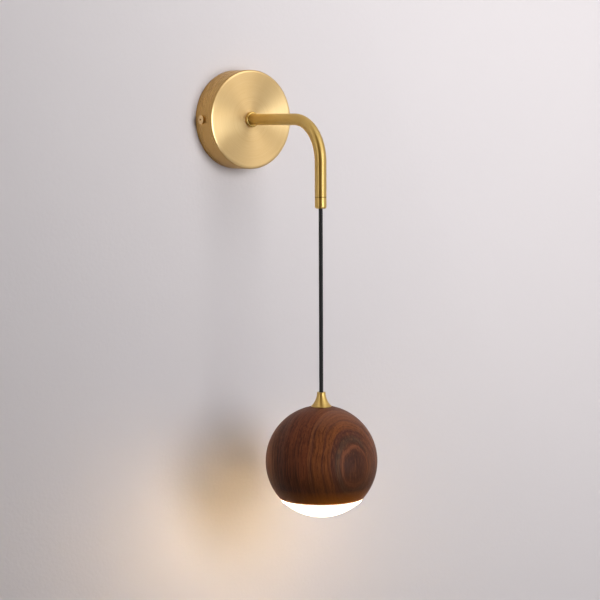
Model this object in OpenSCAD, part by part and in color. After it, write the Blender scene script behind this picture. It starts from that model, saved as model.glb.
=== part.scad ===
// Wall sconce: a round canopy carries a bent arm, and a turned wooden ball lamp hangs from it on a cord.
// Millimetres. The wall is the plane Y = 0, the lamp stands out along -Y, +Z is up,
// and the origin is on the canopy's axis at the wall.

/* [Canopy] */
// Outer diameter of the canopy
canopy_d = 100; // [94:1:130]
// Depth of the canopy from the wall to its face
canopy_depth = 27; // [26:0.5:40]
// Sheet thickness of the canopy
canopy_wall = 1.5; // [1:0.1:1.8]
// Chamfer round the canopy's front edge
canopy_chamfer = 0.8; // [0.3:0.1:1.2]

/* [Wall bracket] */
// Height of the bracket strip
bracket_w = 20; // [18:1:24]
// Sheet thickness of the bracket
bracket_t = 1.5; // [1:0.1:2]
// Distance between the centres of the two wall slots
slot_spacing = 60; // [54:1:64]
// Width of a wall slot
slot_w = 4.5; // [4:0.1:5.5]
// Length of a wall slot, end to end
slot_len = 14; // [10:1:16]
// Hole for the supply cable
cable_hole_d = 12; // [8:0.5:13]
// Height of the bent ears that take the canopy screws
ear_w = 14; // [12:1:16]
// Inner radius of the bend at the ears
ear_bend_r = 1.5; // [1:0.25:2.5]
// Length of the tab under the strip that carries the terminal block
tab_len = 23; // [22:1:26]

/* [Canopy screws] */
// Thread diameter of the canopy screws
side_screw_d = 3.8; // [3:0.1:4.4]
// Distance of the canopy screws from the wall
side_screw_out = 12; // [9.5:0.5:13]
// Head diameter of the canopy screws
side_head_d = 9; // [6:0.1:10]
// Height of the straight part of the head
side_head_h = 2.2; // [1.2:0.1:3]
// Height of the domed part of the head
side_dome_h = 0.6; // [0.3:0.1:1.2]

/* [Arm] */
// Distance of the hanging cord from the wall
reach = 140; // [110:1:180]
// Outer diameter of the arm tube
tube_d = 11.5; // [11.2:0.1:13]
// Wall of the arm tube
tube_wall = 0.75; // [0.5:0.05:1]
// Centreline radius of the bend
bend_r = 41; // [25:1:45]
// Height of the tube's end below the canopy's axis
arm_drop = 75; // [60:1:100]
// Diameter of the collar between canopy and arm
collar_d = 16; // [15:0.5:24]
// Thickness of the collar
collar_t = 3; // [2.5:0.1:5]
// Depth of the collar's socket for the tube
collar_socket = 1.8; // [1:0.1:2]
// Bore of the threaded nipple in the arm
nipple_bore = 7.4; // [6:0.1:7.6]
// Length of the nipple inside the tube
nipple_grip = 9; // [6:0.5:20]
// Thickness of the toothed washer
washer_t = 1; // [0.8:0.1:1.6]
// Diameter of the toothed washer
washer_d = 17; // [16:0.5:20]
// Width across the flats of the nut
nut_flats = 14; // [13:0.5:17]
// Thickness of the nut
nut_t = 4; // [3:0.5:5]

/* [End ferrule] */
// Visible length of the ferrule on the end of the arm
ferrule_len = 11.5; // [8:0.5:20]
// Chamfer round the ferrule's mouth
ferrule_chamfer = 1.2; // [0.5:0.1:1.5]
// Diameter of the mouth, in which the cord swings
mouth_d = 6.8; // [6.6:0.1:7.2]
// Depth of the mouth
mouth_depth = 3.2; // [2.6:0.1:5]
// Length of the ferrule's spigot inside the tube
spigot_len = 9; // [6:0.5:15]
// Outer diameter of the cord grip inside the ferrule
grip_d = 7.8; // [7.6:0.1:8]

/* [Cord] */
// Diameter of the cord
cord_d = 4; // [3.5:0.1:4.2]
// Free length of the cord between ferrule and cone
cord_free = 180; // [100:5:300]
// Length of the short neck between the cord's two bending points
neck_len = 12; // [8:1:20]

/* [Cone] */
// Diameter of the cone's top
cone_top_d = 8.4; // [7.5:0.1:10]
// Diameter of the cone's base
cone_base_d = 20.2; // [18:0.1:24]
// Height of the cone
cone_h = 14.3; // [13:0.1:18]
// Height of the rounded rim round the cone's base
cone_rim = 1; // [0.6:0.1:1.6]
// Depth of the cone's threaded socket
cone_socket = 6.5; // [4:0.5:7]

/* [Ball] */
// Diameter of the wooden ball
ball_d = 110; // [104:1:130]
// Distance of the wooden rim below the ball's centre
rim_drop = 36; // [34:0.5:37]
// Rounding of the wooden rim
rim_round = 1.2; // [0.5:0.1:2]
// Diameter of the recess that takes the diffuser
recess_d = 75; // [73:0.5:76]
// Depth of the recess above the rim
recess_depth = 16; // [15:0.5:20]
// Diameter of the wiring cavity above the recess
cavity_d = 58; // [56:1:60]
// Thickness of wood over the cavity's rounded top
cavity_cover = 12; // [8:0.5:14]
// Thickness of wood under the cone
crown_t = 18; // [14:0.5:20]
// Thread diameter of the nipple through the crown
shade_nipple_d = 7.8; // [7:0.1:8]
// Bore of that nipple
shade_nipple_bore = 5.6; // [4.8:0.1:5.8]

/* [Light source] */
// Thickness of the heat sink's plate
sink_t = 3; // [2:0.5:4]
// Number of cooling fins
fin_count = 16; // [8:1:18]
// Height of the cooling fins
fin_h = 14; // [6:1:20]
// Thickness of a cooling fin
fin_t = 1.4; // [1:0.1:1.6]
// Diameter of the light board
board_d = 59; // [50:1:59]
// Thickness of the light board
board_t = 1.6; // [1:0.1:2]
// Light chips in the outer ring
outer_chips = 16; // [8:1:20]
// Light chips in the inner ring
inner_chips = 8; // [4:1:10]

/* [Diffuser] */
// Wall of the diffuser
diffuser_wall = 2.5; // [2:0.1:3]
// Height of the diffuser's spigot inside the recess
diffuser_spigot = 9; // [7:0.5:9.5]
// Wall of that spigot
spigot_wall = 3; // [2.8:0.1:4]
// Thickness of the rubber ring that grips the wood
ring_section = 1.8; // [1.4:0.1:2]

/* [Supply unit] */
// Length of the driver case
driver_l = 54; // [44:1:56]
// Height of the driver case
driver_w = 22; // [18:1:23]
// Thickness of the driver with its lid
driver_h = 16; // [12:0.5:17]
// Thickness of the driver's lid
driver_lid_t = 2; // [1.5:0.1:3]
// Thickness of the tape that holds the driver
tape_t = 0.8; // [0.5:0.1:1.5]
// Length of the terminal block
terminal_l = 24; // [22.5:0.5:24.5]
// Height of the terminal block
terminal_w = 17; // [15:0.5:17.5]
// Thickness of the terminal block
terminal_h = 14; // [12:0.5:15]
// Diameter of a lead
lead_d = 1.6; // [1.2:0.1:1.8]

/* [Clearances] */
// Between a thread and its hole
thread_gap = 0.1; // [0.05:0.05:0.15]
// Between a part that is pushed in and its hole
slip_gap = 0.2; // [0.1:0.05:0.3]
// Between parts that move on each other
run_gap = 0.3; // [0.3:0.05:0.5]
// Between bracket ears and canopy
ear_gap = 0.6; // [0.4:0.1:1]

/* [Hidden] */
$fn = 96;

// Material cut beyond a face so that a cut goes through
over = 1;
canopy_r = canopy_d / 2;
// Inside of the canopy's face, measured from the wall
face_in = canopy_depth - canopy_wall;
tube_r = tube_d / 2;
tube_bore_r = tube_r - tube_wall;
cord_r = cord_d / 2;

// Bracket ears stand as wide apart as their corners fit in the canopy
ear_out_x = sqrt(pow(canopy_r - canopy_wall - ear_gap, 2) - pow(ear_w / 2, 2));
// The strip's wide middle ends a little before the bends
wide_end_margin = 4;
wide_end_x = ear_out_x - ear_bend_r - bracket_t - wide_end_margin;
ear_len = side_screw_out + ear_w / 2;
// The tab is a little wider than the terminal block
tab_margin = 1;
earth_screw_clear = 8.5;
earth_screw_x = cable_hole_d / 2 + earth_screw_clear;
earth_screw_d = 3.8;
earth_head_d = 8;
earth_head_h = 2.6;
terminal_fix_d = 2.4;
terminal_fix_head_d = 3.2;
terminal_fix_head_h = 2;

// Arm fittings, measured from the wall
arm_nipple_d = 2 * (tube_bore_r - thread_gap);
nipple_tail = 2.5;
nipple_start = face_in - washer_t - nut_t - nipple_tail;
tube_start = canopy_depth + collar_t - collar_socket;
bush_flange_t = 1.2;
bush_spigot = 5;
cord_tail_out = 3.3;
cord_start = nipple_start - bush_flange_t - cord_tail_out;

// Heights along the hanging axis
tube_end_z = -arm_drop;
mouth_z = tube_end_z - ferrule_len;
neck_end_z = mouth_z - neck_len;
cone_top_z = mouth_z - cord_free;
cone_base_z = cone_top_z - cone_h;
// The cone stands on a flat that is a little wider than its base
cone_seat_margin = 0.3;
ball_r = ball_d / 2;
seat_h = sqrt(pow(ball_r, 2) - pow(cone_base_d / 2 + cone_seat_margin, 2));
ball_z = cone_base_z - seat_h;
// The cord turns against the shade here, inside the cone
twist_depth = 4;
twist_z = cone_top_z - twist_depth;
cord_bore_d = cord_d + 2 * slip_gap;

// Heights from the ball's centre
rim_h = -rim_drop;
ledge_h = rim_h + recess_depth;
ceiling_h = seat_h - crown_t;
shade_washer_t = 1.5;
shade_washer_d = 20;
shade_nut_t = 4;
shade_nut_flats = 13;
shade_nipple_show = 1.5;
shade_nipple_low = ceiling_h - shade_washer_t - shade_nut_t - shade_nipple_show;
cord_stop_len = 8;
cord_stop_d = 11;
cord_stop_h = shade_nipple_low - run_gap - cord_stop_len;
stop_screw_d = 3;
stop_screw_socket = 1.6;
tail_len = 4;
tail_low = cord_stop_h - tail_len;
sink_low = ledge_h - sink_t;
sink_r = recess_d / 2 - 2 * slip_gap;
board_low = sink_low - board_t;
wire_hole_d = 6;
fin_margin = 2;
hub_wall = 3;
hub_r = wire_hole_d / 2 + hub_wall;
// Screws that hold the heat sink sit in the middle of the ledge
sink_screw_r = (cavity_d + recess_d) / 4;
sink_screw_d = 2.8;
sink_screw_len = 9;
board_screw_inset = 11;
board_screw_r = board_d / 2 - board_screw_inset;
board_screw_d = 2.8;
// How far a screw's end stays from the bottom of its hole
screw_end_gap = 1;
// Metal left over a blind hole in the heat sink
blind_floor = 0.5;
small_head_d = 5.4;
small_head_h = 1.8;
chip_size = 3;
chip_t = 0.7;
outer_chip_inset = 4;
inner_chip_inset = 6;
// The board's two solder pads lie this far outside its wire hole
pad_out = 4;
// Half the distance between the two leads on their way down
lead_apart = 1.2;

// Diffuser
spigot_r = recess_d / 2 - run_gap;
spigot_in_r = spigot_r - spigot_wall;
cap_h = rim_h - run_gap;
ring_h = rim_h + diffuser_spigot / 2;
ring_mid_r = recess_d / 2 - slip_gap / 2 - ring_section / 2;

// Driver and terminal block
driver_clear = 3;
driver_z = bracket_w / 2 + driver_clear;
driver_back = face_in - tape_t - driver_h;
terminal_clear = 4;
terminal_top_z = -bracket_w / 2 - terminal_clear;
terminal_pitch = terminal_l / 3;
terminal_mid_z = terminal_top_z - terminal_w / 2;
terminal_bore_out = bracket_t + terminal_h / 2;
barrel_r = 2;
barrel_bore_r = 1.2;
barrel_inset = 1.5;
clamp_screw_d = 2.4;
clamp_screw_gap = terminal_w / 4;
pole_gap = 1;
// How far a lead goes into a barrel or a driver, and how far it runs straight outside
lead_grip = 2;
lead_straight = 4;
driver_lead_pitch = 2.5 * lead_d;
driver_lead_hole = 2;

// Routes of the leads, as (sideways, out from the wall, up), between the ends that the pieces set
output_route_a = [[-2, 8, 1], [-8, 6, 5], [-20, 5.5, 9], [-32, 8, 14], [-36, 13, 20]];
output_route_b = [[-1, 7, -1], [-8, 4, 3], [-20, 4, 12], [-34, 7, 19], [-36, 13, 25]];
supply_route_a = [[33, 13, 20], [34, 9, 12], [24, 6.5, 2], [12, 7, -6]];
supply_route_b = [[36, 16, 25], [38, 14, 16], [28, 13, 4], [12, 13, -5], [-2, 12, -8.5], [-7, 10, -10]];
earth_route = [[10, 8.5, -4], [4, 8, -7.5]];

function unit(v) = v / norm(v);
// A place given as (sideways, out from the wall, up)
function place(p) = [p[0], -p[1], p[2]];
// Points of a smooth curve through a route's points
function curve_point(a, b, c, d, t) =
    0.5 * (2 * b + (c - a) * t + (2 * a - 5 * b + 4 * c - d) * t * t + (3 * b - a - 3 * c + d) * t * t * t);
function smooth(route, steps) =
    let (last = len(route) - 1)
    concat(
        [for (i = [0:last - 1], s = [0:steps - 1])
            curve_point(route[max(i - 1, 0)], route[i], route[i + 1], route[min(i + 2, last)], s / steps)],
        [route[last]]);
function directions(path) =
    let (last = len(path) - 1)
    [for (i = [0:last]) unit(path[min(i + 1, last)] - path[max(i - 1, 0)])];
// Each ring's side direction, carried along the path without twist
function sides_along(dirs) =
    let (start = abs(dirs[0].z) < 0.9 ? [0, 0, 1] : [1, 0, 0])
    [for (i = 0, n = unit(cross(dirs[0], start)); i < len(dirs);
        i = i + 1, n = i < len(dirs) ? unit(n - dirs[i] * (n * dirs[i])) : n) n];

// A round tube swept along a route
module swept_lead(route, d, steps = 4, sides = 8) {
    path = smooth(route, steps);
    dirs = directions(path);
    across = sides_along(dirs);
    last = len(path) - 1;
    points = [for (i = [0:last], k = [0:sides - 1])
        let (turn = 360 * k / sides)
        path[i] + d / 2 * (cos(turn) * across[i] + sin(turn) * cross(dirs[i], across[i]))];
    walls = [for (i = [0:last - 1], k = [0:sides - 1])
        let (a = i * sides + k, b = i * sides + (k + 1) % sides)
        each [[a, a + sides, b + sides], [a, b + sides, b]]];
    ends = [[for (k = [0:sides - 1]) k], [for (k = [sides - 1:-1:0]) last * sides + k]];
    polyhedron(points = points, faces = concat(walls, ends));
}

// Turns a piece drawn upwards so that it points out from the wall
module out_from_wall() {
    rotate([90, 0, 0]) children();
}

module on_drop_axis(z) {
    translate([0, -reach, z]) children();
}

// A round bar of one radius along the arm's centreline
module arm_run(r, from_out, to_z) {
    out_from_wall() translate([0, 0, from_out]) cylinder(r = r, h = reach - bend_r - from_out);
    translate([0, -(reach - bend_r), -bend_r]) rotate([0, -90, 180])
        rotate_extrude(angle = 90) translate([bend_r, 0]) circle(r = r);
    on_drop_axis(to_z) cylinder(r = r, h = -bend_r - to_z);
}

// A slotted screw with its head above the origin and its shank below
module slotted_screw(head_d, head_h, shank_d, shank_len) {
    difference() {
        union() {
            cylinder(d1 = head_d, d2 = head_d - head_h, h = head_h);
            translate([0, 0, -shank_len]) cylinder(d = shank_d, h = shank_len);
        }
        translate([-head_d, -head_d / 14, head_h / 2]) cube([2 * head_d, head_d / 7, head_h]);
    }
}

// A flat ring
module ring(outer_d, inner_d, h) {
    difference() {
        cylinder(d = outer_d, h = h);
        translate([0, 0, -over]) cylinder(d = inner_d, h = h + 2 * over);
    }
}

module hex_nut(flats, bore_d, h) {
    difference() {
        cylinder(d = flats / cos(30), h = h, $fn = 6);
        translate([0, 0, -over]) cylinder(d = bore_d, h = h + 2 * over);
    }
}

// Copies a piece to the opposite side of the canopy, turned about its axis
module both_sides() {
    for (turn = [0, 180]) rotate([0, turn, 0]) children();
}

// A slot through a plate, drawn upwards
module slot_cut(len, w, h) {
    translate([-(len - w) / 2, -w / 2, 0]) cube([len - w, w, h]);
    for (x = [-1, 1] * (len - w) / 2) translate([x, 0, 0]) cylinder(d = w, h = h);
}

// A rectangle that stands on its base line, with round lower corners
module round_footed(half_w, h, r) {
    translate([-half_w, r]) square([2 * half_w, h - r]);
    translate([r - half_w, 0]) square([2 * (half_w - r), h]);
    for (x = [-1, 1] * (half_w - r)) translate([x, r]) circle(r = r);
}

// Strip and ears, bent from one sheet
module bracket_bend() {
    difference() {
        round_footed(ear_out_x, ear_len, ear_bend_r + bracket_t);
        translate([0, bracket_t]) round_footed(ear_out_x - bracket_t, ear_len, ear_bend_r);
    }
}

module wall_bracket() {
    color("lightsteelblue") difference() {
        out_from_wall() union() {
            translate([0, ear_w / 2, 0]) rotate([90, 0, 0]) linear_extrude(ear_w) bracket_bend();
            translate([-wide_end_x, -bracket_w / 2, 0]) cube([2 * wide_end_x, bracket_w, bracket_t]);
            translate([-terminal_l / 2 - tab_margin, -bracket_w / 2 - tab_len, 0])
                cube([terminal_l + 2 * tab_margin, tab_len + over, bracket_t]);
        }
        out_from_wall() {
            for (x = [-1, 1] * slot_spacing / 2) translate([x, 0, -over])
                slot_cut(slot_len, slot_w, bracket_t + 2 * over);
            translate([0, 0, -over]) cylinder(d = cable_hole_d, h = bracket_t + 2 * over);
            translate([earth_screw_x, 0, -over])
                cylinder(d = earth_screw_d + 2 * thread_gap, h = bracket_t + 2 * over);
            translate([terminal_pitch / 2, terminal_mid_z, -over])
                cylinder(d = terminal_fix_d + 2 * thread_gap, h = bracket_t + 2 * over);
        }
        both_sides() translate([ear_out_x - bracket_t - over, -side_screw_out, 0]) rotate([0, 90, 0])
            cylinder(d = side_screw_d + 2 * thread_gap, h = bracket_t + 2 * over);
    }
}

module earth_screw() {
    color("gold") out_from_wall() translate([earth_screw_x, 0, bracket_t])
        slotted_screw(earth_head_d, earth_head_h, earth_screw_d, bracket_t);
}

// Spun cup, open towards the wall
module canopy() {
    hole_r = arm_nipple_d / 2 + slip_gap;
    in_r = canopy_r - canopy_wall;
    color("goldenrod") difference() {
        out_from_wall() rotate_extrude() polygon([
            [in_r, 0], [canopy_r, 0], [canopy_r, canopy_depth - canopy_chamfer],
            [canopy_r - canopy_chamfer, canopy_depth], [hole_r, canopy_depth],
            [hole_r, face_in], [in_r, face_in]]);
        both_sides() translate([canopy_r + over, -side_screw_out, 0]) rotate([0, -90, 0])
            cylinder(d = side_screw_d + 4 * slip_gap, h = canopy_wall + 3 * over);
    }
}

// Two screws with tall round heads that hold the canopy on the bracket's ears
module canopy_screws() {
    // How far the screws stand out behind the ears
    screw_end = 2;
    socket = 2.6;
    socket_depth = 1.5;
    shank_len = canopy_r - ear_out_x + bracket_t + screw_end;
    // Radius of the dome that spans the head
    dome_r = (pow(side_head_d / 2, 2) + pow(side_dome_h, 2)) / (2 * side_dome_h);
    color("goldenrod") both_sides() translate([canopy_r, -side_screw_out, 0]) rotate([0, 90, 0])
        difference() {
            union() {
                translate([0, 0, -shank_len]) cylinder(d = side_screw_d, h = shank_len);
                intersection() {
                    translate([0, 0, side_head_h + side_dome_h - dome_r]) sphere(r = dome_r);
                    cylinder(d = side_head_d, h = side_head_h + side_dome_h);
                }
            }
            translate([0, 0, side_head_h + side_dome_h - socket_depth])
                cylinder(d = socket, h = socket_depth + over, $fn = 6);
        }
}

// Ring with a full round edge, and a socket in front for the tube
module arm_collar() {
    color("goldenrod") out_from_wall() translate([0, 0, canopy_depth]) difference() {
        rotate_extrude() {
            square([collar_d / 2 - collar_t / 2, collar_t]);
            translate([collar_d / 2 - collar_t / 2, collar_t / 2]) intersection() {
                circle(d = collar_t);
                translate([0, -collar_t / 2]) square(collar_t);
            }
        }
        translate([0, 0, -over]) cylinder(d = arm_nipple_d + 2 * thread_gap, h = collar_t + 2 * over);
        translate([0, 0, collar_t - collar_socket])
            cylinder(d = tube_d + slip_gap, h = collar_socket + over);
    }
}

module arm_tube() {
    color("goldenrod") difference() {
        arm_run(tube_r, tube_start, tube_end_z);
        arm_run(tube_bore_r, tube_start - over, tube_end_z - over);
    }
}

module arm_nipple() {
    color("darkgoldenrod") out_from_wall() translate([0, 0, nipple_start])
        ring(arm_nipple_d, nipple_bore, tube_start + nipple_grip - nipple_start);
}

// Washer with teeth round its edge
module lock_washer() {
    tooth_count = 16;
    tooth_len = 1.5;
    tooth_w = 1.6;
    color("silver") out_from_wall() translate([0, 0, face_in - washer_t]) difference() {
        union() {
            cylinder(d = washer_d - 2 * tooth_len, h = washer_t);
            for (i = [0:tooth_count - 1]) rotate([0, 0, 360 * i / tooth_count])
                translate([0, -tooth_w / 2, 0]) cube([washer_d / 2, tooth_w, washer_t]);
        }
        translate([0, 0, -over]) cylinder(d = arm_nipple_d + 2 * slip_gap, h = washer_t + 2 * over);
    }
}

module lock_nut() {
    color("silver") out_from_wall() translate([0, 0, face_in - washer_t - nut_t])
        hex_nut(nut_flats, arm_nipple_d + 2 * thread_gap, nut_t);
}

// Keeps the cord off the nipple's edge
module nipple_bush() {
    lip = 0.5;
    color("white") out_from_wall() translate([0, 0, nipple_start - bush_flange_t]) difference() {
        union() {
            cylinder(d = arm_nipple_d + 2 * lip, h = bush_flange_t);
            cylinder(d = nipple_bore - slip_gap, h = bush_flange_t + bush_spigot);
        }
        translate([0, 0, -over]) cylinder(d = cord_bore_d, h = bush_flange_t + bush_spigot + 2 * over);
    }
}

// Turned end of the arm: its spigot plugs the tube, and its mouth lets the cord swing
module end_ferrule() {
    seam = 0.4;
    top = ferrule_len + spigot_len;
    plug_r = tube_bore_r - thread_gap;
    hold_r = grip_d / 2 + thread_gap;
    color("goldenrod") on_drop_axis(mouth_z) rotate_extrude() polygon([
        [mouth_d / 2, 0], [tube_r - ferrule_chamfer, 0], [tube_r, ferrule_chamfer],
        [tube_r, ferrule_len - seam], [tube_r - seam, ferrule_len],
        [plug_r, ferrule_len], [plug_r, top], [hold_r, top],
        [hold_r, mouth_depth], [mouth_d / 2, mouth_depth]]);
}

// Split sleeve that the ferrule closes round the cord
module cord_grip() {
    // How far the sleeve ends below the spigot's top
    sunk = 1;
    slit = 0.8;
    len = ferrule_len + spigot_len - mouth_depth - sunk;
    color("dimgray") on_drop_axis(mouth_z + mouth_depth) difference() {
        ring(grip_d, cord_d + 2 * thread_gap, len);
        for (turn = [0, 90]) rotate([0, 0, turn]) translate([-grip_d, -slit / 2, len / 2])
            cube([2 * grip_d, slit, len]);
    }
}

// Cord from inside the canopy, through the arm, to just above the mouth
module cord_in_arm() {
    color("black") arm_run(cord_r, cord_start, mouth_z + cord_r + run_gap);
}

module driver_case() {
    corner = 3;
    h = driver_h - driver_lid_t;
    color("white") out_from_wall() translate([-driver_l / 2, driver_z, driver_back + driver_lid_t])
        difference() {
            union() {
                translate([corner, 0, 0]) cube([driver_l - 2 * corner, driver_w, h]);
                translate([0, corner, 0]) cube([driver_l, driver_w - 2 * corner, h]);
                for (x = [corner, driver_l - corner], y = [corner, driver_w - corner])
                    translate([x, y, 0]) cylinder(r = corner, h = h);
            }
            for (x = [-over, driver_l - driver_lead_hole], k = [0, 1])
                translate([x, driver_w / 2 + (k - 0.5) * driver_lead_pitch, driver_h / 3])
                rotate([0, 90, 0]) cylinder(d = lead_d + 2 * slip_gap, h = driver_lead_hole + over);
        }
}

// Lid on the wall side of the driver, set in a little from the case's edge
module driver_lid() {
    inset = 0.8;
    // Round marks that the lid's mould leaves near its corners
    mark_inset = 4;
    mark_d = 3;
    color("whitesmoke") out_from_wall() translate([-driver_l / 2 + inset, driver_z + inset, driver_back])
        difference() {
            cube([driver_l - 2 * inset, driver_w - 2 * inset, driver_lid_t]);
            for (x = [mark_inset, driver_l - 2 * inset - mark_inset])
                for (y = [mark_inset, driver_w - 2 * inset - mark_inset])
                    translate([x, y, -over]) cylinder(d = mark_d, h = over + driver_lid_t / 2);
        }
}

module driver_tape() {
    margin = 4;
    color("gray") out_from_wall() translate([-driver_l / 2 + margin, driver_z + margin, face_in - tape_t])
        cube([driver_l - 2 * margin, driver_w - 2 * margin, tape_t]);
}

// Three poles side by side, each with a bore for its barrel and two wells for clamp screws
module terminal_block() {
    web_h = terminal_h / 2;
    pole_w = terminal_pitch - pole_gap;
    color("ivory") out_from_wall() translate([0, terminal_mid_z, bracket_t]) difference() {
        union() {
            translate([-(terminal_l - pole_gap) / 2, -terminal_w / 2, 0])
                cube([terminal_l - pole_gap, terminal_w, web_h]);
            for (pole = [-1:1]) translate([pole * terminal_pitch - pole_w / 2, -terminal_w / 2, 0])
                cube([pole_w, terminal_w, terminal_h]);
        }
        for (pole = [-1:1]) translate([pole * terminal_pitch, 0, terminal_h / 2]) {
            translate([0, terminal_w / 2 + over, 0]) rotate([90, 0, 0])
                cylinder(r = barrel_r + thread_gap, h = terminal_w + 2 * over);
            for (y = [-1, 1] * clamp_screw_gap) translate([0, y, 0])
                cylinder(d = clamp_screw_d + 4 * slip_gap, h = terminal_h);
        }
        translate([terminal_pitch / 2, 0, 0]) {
            translate([0, 0, -over]) cylinder(d = terminal_fix_d + 2 * slip_gap, h = terminal_h);
            translate([0, 0, web_h]) cylinder(d = terminal_fix_head_d + 2 * slip_gap, h = terminal_h);
        }
    }
}

module terminal_barrels() {
    len = terminal_w - 2 * barrel_inset;
    color("gold") for (pole = [-1:1])
        translate([pole * terminal_pitch, -terminal_bore_out, terminal_mid_z - len / 2]) difference() {
            ring(2 * barrel_r, 2 * barrel_bore_r, len);
            for (y = [-1, 1] * clamp_screw_gap) translate([0, 0, len / 2 + y]) rotate([90, 0, 0])
                cylinder(d = clamp_screw_d + 2 * thread_gap, h = barrel_r + over);
        }
}

module terminal_screws() {
    head_h = 1.6;
    head_lip = 0.3;
    // How deep the heads lie in their wells, and how far the screws press into the barrels
    sunk = 1.2;
    bite = 0.4;
    shank_len = terminal_h / 2 - head_h - sunk - barrel_bore_r + bite;
    color("silver") for (pole = [-1:1], y = [-1, 1] * clamp_screw_gap) out_from_wall()
        translate([pole * terminal_pitch, terminal_mid_z + y, bracket_t + terminal_h - head_h - sunk])
        slotted_screw(clamp_screw_d + 2 * head_lip, head_h, clamp_screw_d, shank_len);
}

module terminal_fixing_screw() {
    seat_out = bracket_t + terminal_h / 2;
    color("silver") out_from_wall() translate([terminal_pitch / 2, terminal_mid_z, seat_out])
        slotted_screw(terminal_fix_head_d, terminal_fix_head_h, terminal_fix_d, seat_out);
}

// Height of the driver's two leads at each end
function driver_lead_z(k) = driver_z + driver_w / 2 + (k - 0.5) * driver_lead_pitch;
driver_lead_out = driver_back + driver_lid_t + driver_h / 3;
// Last points of a lead's route, down into the barrel of a pole
function into_barrel(x) = [[x, terminal_bore_out, terminal_top_z + lead_grip],
    [x, terminal_bore_out, terminal_top_z - barrel_inset - lead_grip]];

// Leads from the driver's right end down to the outer poles of the terminal block
module supply_leads() {
    start_x = driver_l / 2 - driver_lead_hole / 2;
    routes = [supply_route_a, supply_route_b];
    for (k = [0, 1]) {
        pole_x = (k == 0 ? 1 : -1) * terminal_pitch;
        first = [start_x, driver_lead_out, driver_lead_z(k)];
        route = concat([first, first + [lead_straight, 0, 0]], routes[k], into_barrel(pole_x));
        color(k == 0 ? "saddlebrown" : "royalblue") swept_lead([for (p = route) place(p)], lead_d);
    }
}

// Lead from the earth screw to the middle pole
module earth_lead() {
    head_out = bracket_t + earth_head_h + lead_d / 2 + thread_gap;
    route = concat([[earth_screw_x + 2, head_out, 0], [earth_screw_x - 1, head_out + 1, -1]],
        earth_route, into_barrel(0));
    color("yellowgreen") swept_lead([for (p = route) place(p)], lead_d);
}

// Leads from the cord's end to the driver's left end
module output_leads() {
    end_x = -driver_l / 2 + driver_lead_hole / 2;
    routes = [output_route_a, output_route_b];
    for (k = [0, 1]) {
        height = (0.5 - k) * lead_apart * lead_d;
        last = [end_x, driver_lead_out, driver_lead_z(k)];
        route = concat([[0, cord_start - slip_gap, height], [0, cord_start - lead_grip, height]],
            routes[k], [last - [lead_straight, 0, 0], last]);
        color(k == 0 ? "firebrick" : "black") swept_lead([for (p = route) place(p)], lead_d);
    }
}

// A length of cord that hangs from its bending point, with a round top and a flat foot
module cord_length(top_z, foot_z) {
    on_drop_axis(foot_z) cylinder(r = cord_r, h = top_z - foot_z);
    on_drop_axis(top_z) sphere(r = cord_r);
}

module cord_neck() {
    color("black") cord_length(mouth_z, neck_end_z + cord_r + run_gap);
}

module cord_drop() {
    color("black") cord_length(neck_end_z, twist_z);
}

// Trumpet-shaped cap: its outline is one arc that stands upright at the top, and its base has a round rim
module cone_cap() {
    foot = (cone_base_d - cone_rim) / 2;
    flare = foot - cone_top_d / 2;
    flare_h = cone_h - cone_rim;
    flare_r = (pow(flare_h, 2) + pow(flare, 2)) / (2 * flare);
    color("goldenrod") on_drop_axis(cone_base_z) difference() {
        rotate_extrude() {
            difference() {
                square([foot, cone_h]);
                translate([cone_top_d / 2 + flare_r, cone_h]) circle(r = flare_r, $fn = 256);
            }
            translate([foot, cone_rim / 2]) circle(d = cone_rim);
        }
        translate([0, 0, -over]) cylinder(d = shade_nipple_d + 2 * thread_gap, h = cone_socket + over);
        translate([0, 0, -over]) cylinder(d = cord_bore_d, h = cone_h + 2 * over);
    }
}

module shade_nipple() {
    color("darkgoldenrod") on_drop_axis(ball_z + shade_nipple_low)
        ring(shade_nipple_d, shade_nipple_bore, seat_h + cone_socket - run_gap - shade_nipple_low);
}

module shade_washer() {
    color("silver") on_drop_axis(ball_z + ceiling_h - shade_washer_t)
        ring(shade_washer_d, shade_nipple_d + 2 * slip_gap, shade_washer_t);
}

module shade_nut() {
    color("silver") on_drop_axis(ball_z + ceiling_h - shade_washer_t - shade_nut_t)
        hex_nut(shade_nut_flats, shade_nipple_d + 2 * thread_gap, shade_nut_t);
}

// Cord inside the shade, from the cone to the cavity
module cord_tail() {
    top_z = twist_z - run_gap;
    color("black") on_drop_axis(ball_z + tail_low) cylinder(r = cord_r, h = top_z - ball_z - tail_low);
}

// Clamped on the cord under the nipple, so that the cord carries the shade
module cord_stop() {
    color("dimgray") on_drop_axis(ball_z + cord_stop_h) difference() {
        ring(cord_stop_d, cord_d + 2 * thread_gap, cord_stop_len);
        translate([0, 0, cord_stop_len / 2]) rotate([0, 90, 0]) cylinder(d = stop_screw_d, h = cord_stop_d);
    }
}

module cord_stop_screw() {
    len = (cord_stop_d - cord_d) / 2 - slip_gap;
    color("silver") on_drop_axis(ball_z + cord_stop_h + cord_stop_len / 2) rotate([0, 90, 0])
        translate([0, 0, cord_r + slip_gap]) difference() {
            cylinder(d = stop_screw_d - 2 * thread_gap, h = len);
            translate([0, 0, len / 2]) cylinder(d = stop_screw_socket, h = len, $fn = 6);
        }
}

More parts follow.
